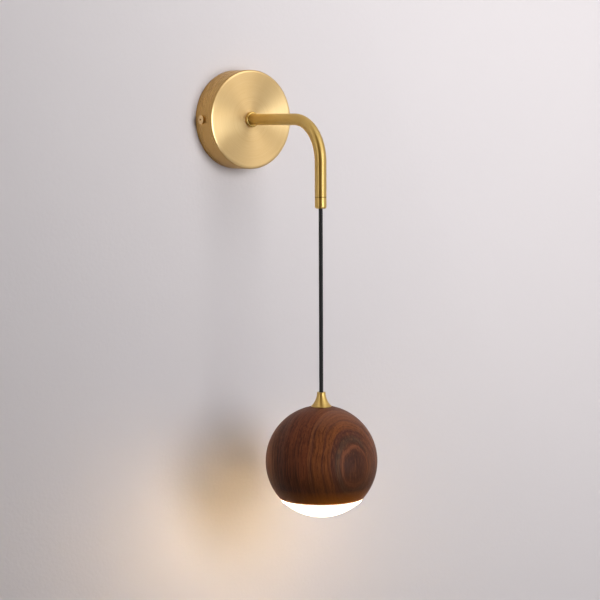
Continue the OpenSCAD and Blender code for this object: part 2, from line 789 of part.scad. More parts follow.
// Outline of the ball with its flat crown and its rounded rim
module ball_outline() {
    // Centre of the rim's rounding, inside the sphere and above the rim's plane
    round_x = sqrt(pow(ball_r - rim_round, 2) - pow(rim_drop - rim_round, 2));
    round_c = [round_x, rim_h + rim_round];
    meet = unit(round_c) * (ball_r + over);
    difference() {
        intersection() {
            circle(r = ball_r, $fn = 360);
            translate([0, rim_h]) square([ball_r, seat_h - rim_h]);
        }
        polygon([round_c, [round_x, rim_h - over], [ball_r, rim_h - over], meet]);
    }
    translate(round_c) circle(r = rim_round);
}

module wood_ball() {
    color("saddlebrown") on_drop_axis(ball_z) difference() {
        rotate_extrude() difference() {
            ball_outline();
            translate([0, rim_h - over]) square([recess_d / 2, recess_depth + over]);
            intersection() {
                circle(r = ball_r - cavity_cover, $fn = 360);
                translate([0, ledge_h - over]) square([cavity_d / 2, ceiling_h - ledge_h + over]);
            }
            square([shade_nipple_d / 2 + slip_gap, ball_r]);
        }
        sink_screw_places() translate([0, 0, ledge_h - over])
            cylinder(d = sink_screw_d + 2 * thread_gap, h = sink_screw_len);
    }
}

module sink_screw_places() {
    for (turn = [90, 210, 330]) rotate([0, 0, turn]) translate([sink_screw_r, 0, 0]) children();
}

module board_screw_places() {
    for (turn = [30, 150, 270]) rotate([0, 0, turn]) translate([board_screw_r, 0, 0]) children();
}

// Plate on the ledge with cooling fins that stand up into the cavity
module heat_sink() {
    fin_end = cavity_d / 2 - fin_margin;
    // How far the fins run into the hub and the plate
    hub_sink = 0.4;
    color("lightgray") on_drop_axis(ball_z) difference() {
        union() {
            translate([0, 0, sink_low]) cylinder(r = sink_r, h = sink_t);
            translate([0, 0, ledge_h - hub_sink]) linear_extrude(fin_h + hub_sink) {
                circle(r = hub_r);
                for (i = [0:fin_count - 1]) rotate(360 * i / fin_count)
                    translate([hub_r - hub_sink, -fin_t / 2]) square([fin_end - hub_r + hub_sink, fin_t]);
            }
        }
        translate([0, 0, sink_low - over]) cylinder(d = wire_hole_d, h = sink_t + fin_h + 2 * over);
        sink_screw_places() translate([0, 0, sink_low - over])
            cylinder(d = sink_screw_d + 2 * slip_gap, h = sink_t + 2 * over);
        board_screw_places() translate([0, 0, sink_low - over])
            cylinder(d = board_screw_d + 2 * thread_gap, h = sink_t - blind_floor + over);
    }
}

module heat_sink_screws() {
    shank_len = sink_t + sink_screw_len - over - screw_end_gap;
    color("silver") on_drop_axis(ball_z) sink_screw_places()
        translate([0, 0, sink_low]) rotate([180, 0, 0])
        slotted_screw(small_head_d, small_head_h, sink_screw_d, shank_len);
}

module led_board() {
    color("white") on_drop_axis(ball_z) difference() {
        translate([0, 0, board_low]) cylinder(d = board_d, h = board_t);
        translate([0, 0, board_low - over]) cylinder(d = wire_hole_d + 1, h = board_t + 2 * over);
        board_screw_places() translate([0, 0, board_low - over])
            cylinder(d = board_screw_d + 2 * slip_gap, h = board_t + 2 * over);
    }
}

// One ring of light chips under the board
module chip_ring(count, r) {
    for (i = [0:count - 1]) rotate([0, 0, 360 * (i + 0.5) / count])
        translate([r - chip_size / 2, -chip_size / 2, board_low - chip_t])
        cube([chip_size, chip_size, chip_t]);
}

module led_chips() {
    color("khaki") on_drop_axis(ball_z) {
        chip_ring(outer_chips, board_d / 2 - outer_chip_inset);
        chip_ring(inner_chips, board_screw_r - inner_chip_inset);
    }
}

module board_screws() {
    color("silver") on_drop_axis(ball_z) board_screw_places()
        translate([0, 0, board_low]) rotate([180, 0, 0])
        slotted_screw(small_head_d, small_head_h, board_screw_d, board_t + sink_t - screw_end_gap);
}

// Two leads from the cord through the heat sink to the pads under the board
module led_leads() {
    pad_x = wire_hole_d / 2 + pad_out;
    pad_h = board_low - lead_d / 2 - thread_gap;
    for (side = [-1, 1]) color(side < 0 ? "firebrick" : "black") on_drop_axis(ball_z) swept_lead([
        [side, 0, tail_low - slip_gap], [side, 0, tail_low - 1.5 * tail_len],
        [side * lead_apart, 0, ledge_h + fin_h - lead_grip],
        [side * lead_apart, 0, board_low + sink_t], [side * 1.6, 0, board_low], [side * 3.6, 0, pad_h - 1],
        [side * (pad_x - 1), 0, pad_h], [side * (pad_x + 1), 0, pad_h]], lead_d);
}

// Opal cap that completes the sphere, with a spigot that goes up into the recess
module diffuser() {
    color("white") on_drop_axis(ball_z) difference() {
        rotate_extrude() difference() {
            union() {
                intersection() {
                    circle(r = ball_r, $fn = 360);
                    translate([0, -ball_r]) square([ball_r, ball_r + cap_h]);
                }
                translate([0, cap_h - over]) square([spigot_r, diffuser_spigot + over]);
            }
            intersection() {
                circle(r = ball_r - diffuser_wall, $fn = 360);
                translate([0, -ball_r]) square([spigot_in_r, ball_r]);
            }
            translate([ring_mid_r - ring_section / 2 - thread_gap, ring_h - ring_section / 2 - thread_gap])
                square([ring_section + 2, ring_section + 2 * thread_gap]);
        }
    }
}

module diffuser_ring() {
    color("dimgray") on_drop_axis(ball_z + ring_h) rotate_extrude()
        translate([ring_mid_r, 0]) circle(d = ring_section);
}

wall_bracket();
earth_screw();
canopy();
canopy_screws();
arm_collar();
arm_tube();
arm_nipple();
lock_washer();
lock_nut();
nipple_bush();
end_ferrule();
cord_grip();
cord_in_arm();
driver_case();
driver_lid();
driver_tape();
terminal_block();
terminal_barrels();
terminal_screws();
terminal_fixing_screw();
supply_leads();
earth_lead();
output_leads();
cord_neck();
cord_drop();
cone_cap();
shade_nipple();
shade_washer();
shade_nut();
cord_tail();
cord_stop();
cord_stop_screw();
wood_ball();
heat_sink();
heat_sink_screws();
led_board();
led_chips();
board_screws();
led_leads();
diffuser();
diffuser_ring();
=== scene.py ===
# %% [markdown]
# # A wall sconce: brass canopy and arm, black cord, walnut ball
#
# The solids come from the CAD part, already in place and in metres. The wall is the plane Y = 0, the lamp
# stands out along -Y, and +Z is up. Blender adds what solids can't say: finishes, wires and light.

# %% Load the part
import math

import bpy
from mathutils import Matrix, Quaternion, Vector


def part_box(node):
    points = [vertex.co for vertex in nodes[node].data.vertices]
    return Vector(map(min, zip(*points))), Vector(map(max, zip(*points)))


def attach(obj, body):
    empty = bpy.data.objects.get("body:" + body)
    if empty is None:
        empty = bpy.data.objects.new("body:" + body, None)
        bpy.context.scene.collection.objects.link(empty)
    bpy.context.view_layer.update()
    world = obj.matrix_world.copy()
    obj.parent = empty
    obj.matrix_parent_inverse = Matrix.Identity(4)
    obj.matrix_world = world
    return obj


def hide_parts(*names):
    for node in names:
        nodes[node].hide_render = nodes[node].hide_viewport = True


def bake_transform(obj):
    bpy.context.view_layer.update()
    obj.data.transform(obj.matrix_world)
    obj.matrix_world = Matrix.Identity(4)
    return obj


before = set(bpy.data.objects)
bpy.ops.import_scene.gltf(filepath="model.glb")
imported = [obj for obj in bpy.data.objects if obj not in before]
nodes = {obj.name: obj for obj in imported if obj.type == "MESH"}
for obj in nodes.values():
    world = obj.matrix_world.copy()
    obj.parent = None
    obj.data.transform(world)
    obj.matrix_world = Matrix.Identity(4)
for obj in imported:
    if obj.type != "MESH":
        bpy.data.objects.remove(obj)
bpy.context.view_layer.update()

scene = bpy.context.scene

# %% [markdown]
# ## Camera
#
# A long lens, about 119 mm on a 36 mm sensor, stands two metres off to the left and looks slightly down.
# Lens and place could be guessed by eye. Here they were fitted to the canopy's two ellipses, the arm and
# the ball's outline, so that the picture's proportions are the lamp's. The camera is placed by turning it
# round the line that the ball hangs on, which keeps that line still in the picture.

# %% Camera
REACH = 0.140
VIEW_TURN = math.radians(37.6)
VIEW_DOWN = math.radians(5.26)
VIEW_ROLL = math.radians(-0.24)
VIEW_DISTANCE = 1.935
VIEW_HEIGHT = -0.1757
LEFT_OF_CORD = 0.0205
SENSOR_MM = 36.0
LENS_MM = 118.86

lens = bpy.data.cameras.new("photo_lens")
lens.sensor_fit = "HORIZONTAL"
lens.sensor_width = SENSOR_MM
lens.lens = LENS_MM
lens.clip_start = 0.05
lens.clip_end = 100.0
camera = bpy.data.objects.new("photo_camera", lens)
scene.collection.objects.link(camera)
look = Vector((math.sin(VIEW_TURN) * math.cos(VIEW_DOWN),
               math.cos(VIEW_TURN) * math.cos(VIEW_DOWN),
               -math.sin(VIEW_DOWN)))
to_right = Vector((math.cos(VIEW_TURN), -math.sin(VIEW_TURN), 0.0))
aim = Vector((0.0, -REACH, VIEW_HEIGHT)) - LEFT_OF_CORD * to_right
camera.location = aim - VIEW_DISTANCE * look
camera.rotation_mode = "QUATERNION"
camera.rotation_quaternion = look.to_track_quat("-Z", "Y") @ Quaternion((0, 0, 1), VIEW_ROLL)
scene.camera = camera
print("camera at", tuple(round(x, 3) for x in camera.location))

# %% [markdown]
# ## A small helper for finishes
#
# Every finish is a node material. Written out link by link, such trees get long and hard to read, so this
# helper adds a node, sets its inputs and hands back one output. Tones are written as screen values from
# 0 to 255 and turned into the linear values that the shader works in.

# %% Finish helper
def tone(red, green, blue):
    """A screen colour as the linear colour that nodes use."""
    def linear(value):
        share = value / 255
        return share / 12.92 if share <= 0.04045 else ((share + 0.055) / 1.055) ** 2.4
    return (linear(red), linear(green), linear(blue), 1.0)


class Finish:
    """A node tree of a material, or of the world, that is built up step by step."""

    def __init__(self, name, owner=None):
        self.material = owner or bpy.data.materials.new(name)
        self.material.use_nodes = True
        self.tree = self.material.node_tree
        self.shader = self.tree.nodes.get("Principled BSDF") or self.tree.nodes["Background"]

    def feed(self, socket, value):
        if isinstance(value, bpy.types.NodeSocket):
            self.tree.links.new(value, socket)
        else:
            socket.default_value = value

    def node(self, kind, inputs=None, out=0, **settings):
        made = self.tree.nodes.new("ShaderNode" + kind)
        for key, value in settings.items():
            setattr(made, key, value)
        for key, value in (inputs or {}).items():
            self.feed(made.inputs[key], value)
        return made.outputs[out]

    def shade(self, **sockets):
        """Sets the shader's sockets; an underscore stands for a space."""
        for key, value in sockets.items():
            self.feed(self.shader.inputs[key.replace("_", " ")], value)
        return self.material

    def place(self, centre=(0, 0, 0), scale=(1000, 1000, 1000)):
        """Object coordinates from a centre in metres, in millimetres unless scale says otherwise."""
        at = self.node("TexCoord", out="Object")
        shift = [-c * s for c, s in zip(centre, scale)]
        return self.node("Mapping", {"Vector": at, "Location": shift, "Scale": scale}, vector_type="POINT")

    def attribute(self, name):
        return self.node("Attribute", out="Vector", attribute_name=name)

    def math(self, operation, a, b=0.0, c=0.0):
        return self.node("Math", {0: a, 1: b, 2: c}, operation=operation)

    def vector(self, operation, a, b=(0, 0, 0), out=0):
        return self.node("VectorMath", {0: a, 1: b}, out=out, operation=operation)

    def split(self, vector):
        made = self.tree.nodes.new("ShaderNodeSeparateXYZ")
        self.feed(made.inputs[0], vector)
        return made.outputs

    def join(self, x, y, z):
        return self.node("CombineXYZ", {0: x, 1: y, 2: z})

    def to_world(self, direction):
        """A direction on the piece as a direction in the scene."""
        return self.node("VectorTransform", {0: direction}, vector_type="VECTOR",
                         convert_from="OBJECT", convert_to="WORLD")

    def from_axis(self, a, b):
        """The distance from an axis, from the two coordinates across it."""
        return self.math("SQRT", self.math("ADD", self.math("POWER", a, 2.0), self.math("POWER", b, 2.0)))

    def noise(self, where, scale, detail=2.0, roughness=0.5, w=None):
        inputs = {"Vector": where, "Scale": scale, "Detail": detail, "Roughness": roughness}
        if w is not None:
            return self.node("TexNoise", {**inputs, "W": w}, noise_dimensions="4D")
        return self.node("TexNoise", inputs)

    def cells(self, where, scale):
        return self.node("TexVoronoi", {"Vector": where, "Scale": scale})

    def span(self, value, low, high, to_low=0.0, to_high=1.0):
        inputs = {0: value, 1: low, 2: high, 3: to_low, 4: to_high}
        return self.node("MapRange", inputs, clamp=True)

    def ramp(self, value, stops):
        made = self.tree.nodes.new("ShaderNodeValToRGB")
        ramp = made.color_ramp
        while len(ramp.elements) < len(stops):
            ramp.elements.new(0.5)
        for element, (at, colour) in zip(ramp.elements, stops):
            element.position = at
            element.color = colour
        self.feed(made.inputs[0], value)
        return made.outputs[0]

    def mix(self, share, a, b):
        return self.node("Mix", {0: share, 6: a, 7: b}, out=2, data_type="RGBA")

    def eased_edges(self, radius):
        """The surface's direction with sharp edges eased to a radius."""
        return self.node("Bevel", {"Radius": radius}, samples=6)

    def bump(self, height, depth, normal=None):
        """A bump: height 0 to 1 stands for a depth in metres, on the surface's own or another direction."""
        inputs = {"Height": height, "Distance": depth, "Strength": 1.0}
        if normal:
            inputs["Normal"] = normal
        return self.node("Bump", inputs)


print("a mid tone", tuple(round(x, 3) for x in tone(128, 128, 128)[:3]))

# %% [markdown]
# ## Wall, floor and light
#
# A sconce needs its wall: the wall carries the soft shadow and the warm glow. A painted sheet stands just
# behind the canopy, and a pale floor lies 1.6 m lower. Both are one-sided, so that the back of the lamp can
# be looked at too, and they let lamps shine through from behind. Where the canopy covers the wall, the wall
# has a round hole, so that the metal inside mirrors the room behind it. The floor lies outside the lamps'
# light, so it is given a pale tone that only the camera sees.

# %% Wall and floor
WALL_GAP = 0.0004
WALL_SIDE = 2.0
WALL_TOP = 1.6
FLOOR_Z = -1.6
FLOOR_SIDE = 25.0
HOLE_R = 0.048
WALL_TONE = tone(217, 211, 213)
WALL_GRAIN = 260.0
FLOOR_TONE = tone(214, 212, 210)
FLOOR_GRAIN = 40.0
FLOOR_PALE = 0.7


def stage_paint(name, colour, grain, unseen_by, hole=0.0, pale=0.0):
    """Matt paint with a faint roller texture, clear from behind and for some kinds of ray."""
    paint = Finish(name)
    where = paint.place(scale=(1, 1, 1))
    cloud = paint.noise(where, 3.0, detail=4.0)
    nap = paint.noise(where, grain, detail=3.0)
    shades = [tuple(c * k for c in colour[:3]) + (1.0,) for k in (0.98, 1.02)]
    paint.shade(Base_Color=paint.mix(cloud, shades[0], shades[1]), Roughness=0.9,
                Specular_IOR_Level=0.2, Normal=paint.bump(nap, 0.0002))
    seen = paint.node("LightPath", out="Is Camera Ray")
    paint.shade(Emission_Color=colour, Emission_Strength=paint.math("MULTIPLY", seen, pale))
    missed = paint.node("NewGeometry", out="Backfacing")
    for kind in unseen_by:
        missed = paint.math("MAXIMUM", missed, paint.node("LightPath", out=kind))
    off_axis = paint.vector("LENGTH", paint.vector("MULTIPLY", where, (1, 0, 1)), out="Value")
    missed = paint.math("MAXIMUM", missed, paint.math("LESS_THAN", off_axis, hole))
    clear = paint.node("BsdfTransparent")
    both = paint.node("MixShader", {0: missed, 1: paint.shader.outputs[0], 2: clear})
    paint.feed(paint.tree.nodes["Material Output"].inputs["Surface"], both)
    return paint.material


def stage_sheet(name, corners, material):
    mesh = bpy.data.meshes.new(name)
    mesh.from_pydata(corners, [], [(0, 1, 2, 3)])
    sheet = bpy.data.objects.new(name, mesh)
    scene.collection.objects.link(sheet)
    mesh.materials.append(material)
    print(name, "faces", tuple(round(x) for x in mesh.polygons[0].normal))


wall_paint = stage_paint("wall_paint", WALL_TONE, WALL_GRAIN, ["Is Shadow Ray"], hole=HOLE_R)
floor_paint = stage_paint("floor_paint", FLOOR_TONE, FLOOR_GRAIN, ["Is Shadow Ray", "Is Glossy Ray"],
                          pale=FLOOR_PALE)
stage_sheet("wall", [(-WALL_SIDE, WALL_GAP, FLOOR_Z), (WALL_SIDE, WALL_GAP, FLOOR_Z),
                     (WALL_SIDE, WALL_GAP, WALL_TOP), (-WALL_SIDE, WALL_GAP, WALL_TOP)], wall_paint)
stage_sheet("floor", [(-FLOOR_SIDE, -FLOOR_SIDE, FLOOR_Z), (FLOOR_SIDE, -FLOOR_SIDE, FLOOR_Z),
                      (FLOOR_SIDE, FLOOR_SIDE, FLOOR_Z), (-FLOOR_SIDE, FLOOR_SIDE, FLOOR_Z)], floor_paint)

# %% [markdown]
# The ball's soft shadow falls almost straight back and a little to the left, so the light stands in front,
# slightly to the right. It is turned away to the upper right, where the wall is brightest. One box alone
# would cast shadows that are too hard or too faint, so a small box stands inside a large one. A weak lamp
# behind the wall shows the inside of the canopy from the back. Brass would show each box as a hard white
# patch, so it doesn't mirror them: it mirrors the room, which comes next.

# %% Lamps
def soft_box(name, place, target, size, watts):
    lamp = bpy.data.lights.new(name, "AREA")
    lamp.shape = "DISK"
    lamp.size = size
    lamp.energy = watts
    box = bpy.data.objects.new(name, lamp)
    scene.collection.objects.link(box)
    box.location = place
    box.rotation_mode = "QUATERNION"
    box.rotation_quaternion = (Vector(target) - Vector(place)).to_track_quat("-Z", "Y")
    box.visible_camera = False
    box.visible_glossy = False
    return name


LAMP_PLACE = (0.18, -1.65, 0.25)
LAMP_AIM = (1.8, 0.0, 1.05)
# name, place, target, size in metres, watts
LAMPS = [("small_box", LAMP_PLACE, LAMP_AIM, 0.45, 5.5),
         ("large_box", LAMP_PLACE, LAMP_AIM, 1.3, 38.5),
         ("back_box", (-0.5, 1.6, 0.3), (0.0, 0.0, 0.0), 0.8, 9.0)]
print("lamps", [soft_box(*lamp) for lamp in LAMPS])

# %% [markdown]
# The room is what polished brass shows: pale walls all round, a bright pane straight ahead, a fainter one
# high on the right, a warm dim corner on the left, where the camera stands, and a bright strip beyond it.
# The corner makes the dark stripe along the tube, the pane the bright one beside it, and the strip lights
# the tube's left edge. Brass that is brushed in circles shows each pane as two fans. The room is written
# as colour by compass bearing, times brightness by height, plus the panes. It counts for mirrored light
# only: matt surfaces get a weak even light, and the camera itself sees a plain pale room.

# %% Room
BY_BEARING = [(-180, (0.5, 0.5, 0.5)), (-145, (0.5, 0.5, 0.5)), (-122, (1.1, 1.1, 1.1)),
              (-102, (2.8, 2.8, 2.8)), (-88, (2.2, 2.2, 2.2)), (-74, (0.24, 0.17, 0.06)),
              (-64, (0.13, 0.085, 0.015)), (-46, (0.2, 0.14, 0.04)), (-24, (0.38, 0.31, 0.19)),
              (-4, (0.95, 0.95, 0.95)), (40, (0.92, 0.92, 0.92)), (60, (0.82, 0.82, 0.82)),
              (92, (0.65, 0.65, 0.65)), (180, (0.5, 0.5, 0.5))]
BY_HEIGHT = [(-1.0, 0.25), (-0.5, 0.42), (-0.2, 0.95), (0.02, 1.0), (0.5, 1.1), (1.0, 1.0)]
# bearing and half width in degrees, height and half height from -1 to 1, glow
PANES = [(6.0, 12.0, -0.065, 0.16, (5.6, 6.4, 7.3)), (31.0, 14.0, 0.42, 0.2, (1.5, 1.5, 1.5))]
EVEN = (0.13, 0.13, 0.13, 1.0)
PALE_ROOM = (0.72, 0.70, 0.70, 1.0)

room = Finish("room", bpy.data.worlds.new("room"))
scene.world = room.material
east, north, up = room.split(room.node("TexCoord", out="Generated"))
bearing = room.math("ARCTAN2", east, room.math("MULTIPLY", north, -1.0))
by_bearing = room.ramp(room.span(bearing, -math.pi, math.pi),
                       [((angle + 180) / 360, (*colour, 1.0)) for angle, colour in BY_BEARING])
by_height = room.ramp(room.span(up, -1.0, 1.0), [((h + 1) / 2, (v, v, v, 1.0)) for h, v in BY_HEIGHT])
mirrored = room.vector("MULTIPLY", by_bearing, by_height)


def with_pane(seen, turn, half_width, height, half_height, glow):
    """What is mirrored, with a soft-edged pane of light added."""
    off = room.math("ABSOLUTE", room.math("SUBTRACT", bearing, math.radians(turn)))
    aside = room.math("DIVIDE", off, math.radians(half_width))
    above = room.math("DIVIDE", room.math("ABSOLUTE", room.math("SUBTRACT", up, height)), half_height)
    share = room.span(room.math("MAXIMUM", aside, above), 0.8, 1.2, 1.0, 0.0)
    return room.vector("ADD", seen, room.vector("MULTIPLY", share, glow))


for pane in PANES:
    mirrored = with_pane(mirrored, *pane)
unseen = room.mix(room.node("LightPath", out="Is Glossy Ray"), EVEN, mirrored)
room.shade(Color=room.mix(room.node("LightPath", out="Is Camera Ray"), unseen, PALE_ROOM), Strength=1.0)
scene.view_settings.view_transform = "Standard"
print("room nodes", len(room.tree.nodes))

# %% [markdown]
# ## Cord and leads
#
# The lamp hangs on 180 mm of round black cord. A cord is a section carried along a line, which is what the
# Curve to Mesh node does. One tree serves the cord and every lead: it sweeps a circle along its lines and
# stores, at each point, the direction round the sheath and the length along it. A finish that reads that
# attribute stays on the sheath when the cord bends. A pair of leads is two lines, and the second one gets
# the second finish.

# %% Tree helpers
def tree_with(name, inputs):
    """An empty Geometry Nodes tree with named inputs, and its two end nodes."""
    tree = bpy.data.node_groups.new(name, "GeometryNodeTree")
    tree.interface.new_socket("Geometry", in_out="INPUT", socket_type="NodeSocketGeometry")
    for label, kind in inputs:
        tree.interface.new_socket(label, in_out="INPUT", socket_type="NodeSocket" + kind)
    tree.interface.new_socket("Geometry", in_out="OUTPUT", socket_type="NodeSocketGeometry")
    return tree, tree.nodes.new("NodeGroupInput").outputs, tree.nodes.new("NodeGroupOutput").inputs


def grow(tree, kind, inputs=None, **settings):
    """Adds a node to a Geometry Nodes tree and sets or links its inputs."""
    made = tree.nodes.new(kind)
    for key, value in settings.items():
        setattr(made, key, value)
    for key, value in (inputs or {}).items():
        if isinstance(value, bpy.types.NodeSocket):
            tree.links.new(value, made.inputs[key])
        else:
            made.inputs[key].default_value = value
    return made


def captured(tree, geometry, kind, label, field, domain="POINT"):
    """Keeps a field on a geometry; gives back the geometry and the kept field."""
    made = grow(tree, "GeometryNodeCaptureAttribute", {"Geometry": geometry}, domain=domain)
    made.capture_items.new(kind, label)
    tree.links.new(field, made.inputs[label])
    return made.outputs["Geometry"], made.outputs[label]


# %% Sweep tree
def sheath_tree():
    tree, given, result = tree_with("sheath", [("Diameter", "Float"), ("Sides", "Int"),
                                               ("Finish", "Material"), ("Second Finish", "Material")])
    radius = grow(tree, "ShaderNodeMath", {0: given["Diameter"], 1: 0.5}, operation="MULTIPLY").outputs[0]
    circle = grow(tree, "GeometryNodeCurvePrimitiveCircle", {"Resolution": given["Sides"], "Radius": radius})
    spot = grow(tree, "GeometryNodeInputPosition").outputs[0]
    outward = grow(tree, "ShaderNodeVectorMath", {0: spot}, operation="NORMALIZE").outputs[0]
    section, round_it = captured(tree, circle.outputs["Curve"], "VECTOR", "Round", outward)
    length = grow(tree, "GeometryNodeSplineParameter").outputs["Length"]
    lines, along = captured(tree, given["Geometry"], "FLOAT", "Along", length)
    number = grow(tree, "GeometryNodeInputIndex").outputs[0]
    lines, which = captured(tree, lines, "INT", "Which", number, domain="CURVE")
    swept = grow(tree, "GeometryNodeCurveToMesh", {"Curve": lines, "Profile Curve": section,
                                                   "Fill Caps": True})
    parts = grow(tree, "ShaderNodeSeparateXYZ", {0: round_it}).outputs
    sheath = grow(tree, "ShaderNodeCombineXYZ", {0: parts[0], 1: parts[1], 2: along})
    stored = grow(tree, "GeometryNodeStoreNamedAttribute",
                  {"Geometry": swept.outputs["Mesh"], "Name": "sheath", "Value": sheath.outputs[0]},
                  data_type="FLOAT_VECTOR", domain="POINT")
    smooth = grow(tree, "GeometryNodeSetShadeSmooth", {"Geometry": stored.outputs["Geometry"]})
    whole = grow(tree, "GeometryNodeRealizeInstances", {"Geometry": smooth.outputs["Geometry"]})
    first = grow(tree, "GeometryNodeSetMaterial", {"Geometry": whole.outputs["Geometry"],
                                                   "Material": given["Finish"]})
    second = grow(tree, "GeometryNodeSetMaterial", {"Geometry": first.outputs["Geometry"], "Selection": which,
                                                    "Material": given["Second Finish"]})
    tree.links.new(second.outputs["Geometry"], result["Geometry"])
    return tree


SHEATH = sheath_tree()
print("sheath tree has", len(SHEATH.nodes), "nodes")

# %% Turn a tree's result into a plain mesh
def made_by(tree, name, source, values):
    """Runs a tree on a source and keeps the result as a mesh object at the origin."""
    carrier = bpy.data.objects.new(name + "_carrier", source)
    scene.collection.objects.link(carrier)
    modifier = carrier.modifiers.new("shape", "NODES")
    modifier.node_group = tree
    for socket in tree.interface.items_tree:
        if socket.in_out == "INPUT" and socket.name in values:
            modifier[socket.identifier] = values[socket.name]
    graph = bpy.context.evaluated_depsgraph_get()
    mesh = bpy.data.meshes.new_from_object(carrier.evaluated_get(graph), preserve_all_data_layers=True,
                                           depsgraph=graph)
    mesh.name = name
    bpy.data.objects.remove(carrier)
    piece = bpy.data.objects.new(name, mesh)
    scene.collection.objects.link(piece)
    print(name, len(mesh.polygons), "faces,", len(mesh.materials), "finishes")
    return piece


def sheathed(name, routes, diameter, finishes, sides=16):
    """One piece of sheathed cord or leads along one or two routes."""
    curve = bpy.data.curves.new(name, "CURVE")
    curve.dimensions = "3D"
    for route in routes:
        spline = curve.splines.new("POLY")
        spline.points.add(len(route) - 1)
        for spot, point in zip(spline.points, route):
            spot.co = (*point, 1.0)
    return made_by(SHEATH, name, curve, {"Diameter": diameter, "Sides": sides, "Finish": finishes[0],
                                         "Second Finish": finishes[-1]})


def install(piece, body, slot, *replaced):
    """Hangs a piece on its body, in place of the CAD nodes it stands for."""
    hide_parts(*replaced)
    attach(piece, body)


# %% [markdown]
# The cord is smooth black plastic over a woven core, so a faint diagonal weave shows through the gloss. Two
# waves that cross round the sheath make it. They read the stored direction and length, so no seam shows.

# %% Cord finish
CORD_D = 0.004
WEAVE_ROUND = 12.0
WEAVE_ALONG = 5200.0
CORD_TONES = (tone(18, 17, 17), tone(32, 30, 29))


def cord_finish():
    black = Finish("cord_black")
    x, y, along = black.split(black.attribute("sheath"))
    turn = black.math("MULTIPLY", black.math("ARCTAN2", y, x), WEAVE_ROUND)
    climb = black.math("MULTIPLY", along, WEAVE_ALONG)
    one = black.math("SINE", black.math("ADD", turn, climb))
    other = black.math("SINE", black.math("SUBTRACT", turn, climb))
    weave = black.math("MULTIPLY_ADD", black.math("MULTIPLY", one, other), 0.5, 0.5)
    dust = black.noise(black.place(), 0.6, detail=4.0)
    return black.shade(Base_Color=black.mix(black.math("MULTIPLY", weave, 0.6), *CORD_TONES),
                       Roughness=black.span(dust, 0.3, 0.7, 0.42, 0.55), Specular_IOR_Level=0.25,
                       Normal=black.bump(weave, 0.00005))


CORD_BLACK = cord_finish()
print("cord finish", len(CORD_BLACK.node_tree.nodes), "nodes")

# %% [markdown]
# The hanging length is shown end to end, so its length is the real one. It starts a little inside the
# ferrule's mouth and ends inside the cone.

# %% Hanging cord
MOUTH_Z = -0.0865
TWIST_Z = -0.2705
INSIDE_MOUTH = 0.0013


def drop_points(top, bottom, count):
    return [(0.0, -REACH, top + (bottom - top) * i / (count - 1)) for i in range(count)]


hanging_cord = sheathed("hanging_cord", [drop_points(MOUTH_Z + INSIDE_MOUTH, TWIST_Z, 90)], CORD_D,
                        [CORD_BLACK], sides=32)
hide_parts("cord_neck", "cord_drop")
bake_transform(hanging_cord)

# %% [markdown]
# The same cord runs on through the arm, round its bend, and down into the ball. Those lengths hardly show,
# but they are there when someone looks into the canopy from behind or takes the cap off. Both take their
# ends from the solids that they replace. The one in the arm stops a little higher, because the end of the
# hanging cord tilts towards it when the ball swings.

# %% Cord inside arm and ball
BEND_R = 0.041
BEND_STEPS = 24
SWING_ROOM = 0.0012


def arm_route(start_y, end_z):
    straight = REACH - BEND_R
    turns = [math.radians(90 * i / BEND_STEPS) for i in range(BEND_STEPS + 1)]
    bend = [(0.0, -straight - BEND_R * math.sin(t), BEND_R * math.cos(t) - BEND_R) for t in turns]
    return [(0.0, start_y, 0.0)] + bend + [(0.0, -REACH, end_z)]


low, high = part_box("cord_in_arm")
arm_line = arm_route(high.y, low.z + SWING_ROOM)
arm_cord = sheathed("cord_through_arm", [arm_line], CORD_D, [CORD_BLACK], sides=24)
install(arm_cord, "wall_fixture", "cord_black", "cord_in_arm")

low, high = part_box("cord_tail")
tail_cord = sheathed("cord_in_ball", [drop_points(high.z, low.z, 8)], CORD_D, [CORD_BLACK], sides=24)
install(tail_cord, "shade", "cord_black", "cord_tail")

# %% [markdown]
# Inside the canopy, thin leads join the supply terminals, the driver and the cord. Their colours are the
# usual ones: brown and blue for the supply, green with a yellow stripe for earth, red and black for the
# light. The stripe reads the direction round the sheath and turns slowly along it, as on real wire.

# %% Lead finishes
def lead_sheath(name, colour, stripe=None):
    sheath = Finish(name)
    x, y, along = sheath.split(sheath.attribute("sheath"))
    cloud = sheath.noise(sheath.place(), 0.8, detail=3.0)
    darker = tuple(c * 0.6 for c in colour[:3]) + (1.0,)
    shade = sheath.mix(sheath.math("MULTIPLY", cloud, 0.5), colour, darker)
    if stripe:
        turn = sheath.math("ADD", sheath.math("ARCTAN2", y, x), sheath.math("MULTIPLY", along, 90.0))
        band = sheath.span(sheath.math("SINE", turn), 0.15, 0.3)
        shade = sheath.mix(band, shade, stripe)
    return sheath.shade(Base_Color=shade, Roughness=sheath.span(cloud, 0.3, 0.7, 0.34, 0.46),
                        Normal=sheath.bump(cloud, 0.00002))


BROWN = lead_sheath("lead_brown", tone(112, 66, 40))
BLUE = lead_sheath("lead_blue", tone(36, 88, 168))
EARTH = lead_sheath("lead_green_yellow", tone(52, 134, 58), tone(226, 208, 60))
RED = lead_sheath("lead_red", tone(178, 34, 30))
BLACK = lead_sheath("lead_black", tone(34, 33, 33))
print("lead finishes", [m.name for m in (BROWN, BLUE, EARTH, RED, BLACK)])

# %% [markdown]
# A lead's route is a short list of places with a smooth curve through them. Places are given
# in millimetres as sideways, out from the wall, up.

# %% Leads in the canopy
LEAD_D = 0.0016
EASE_STEPS = 8


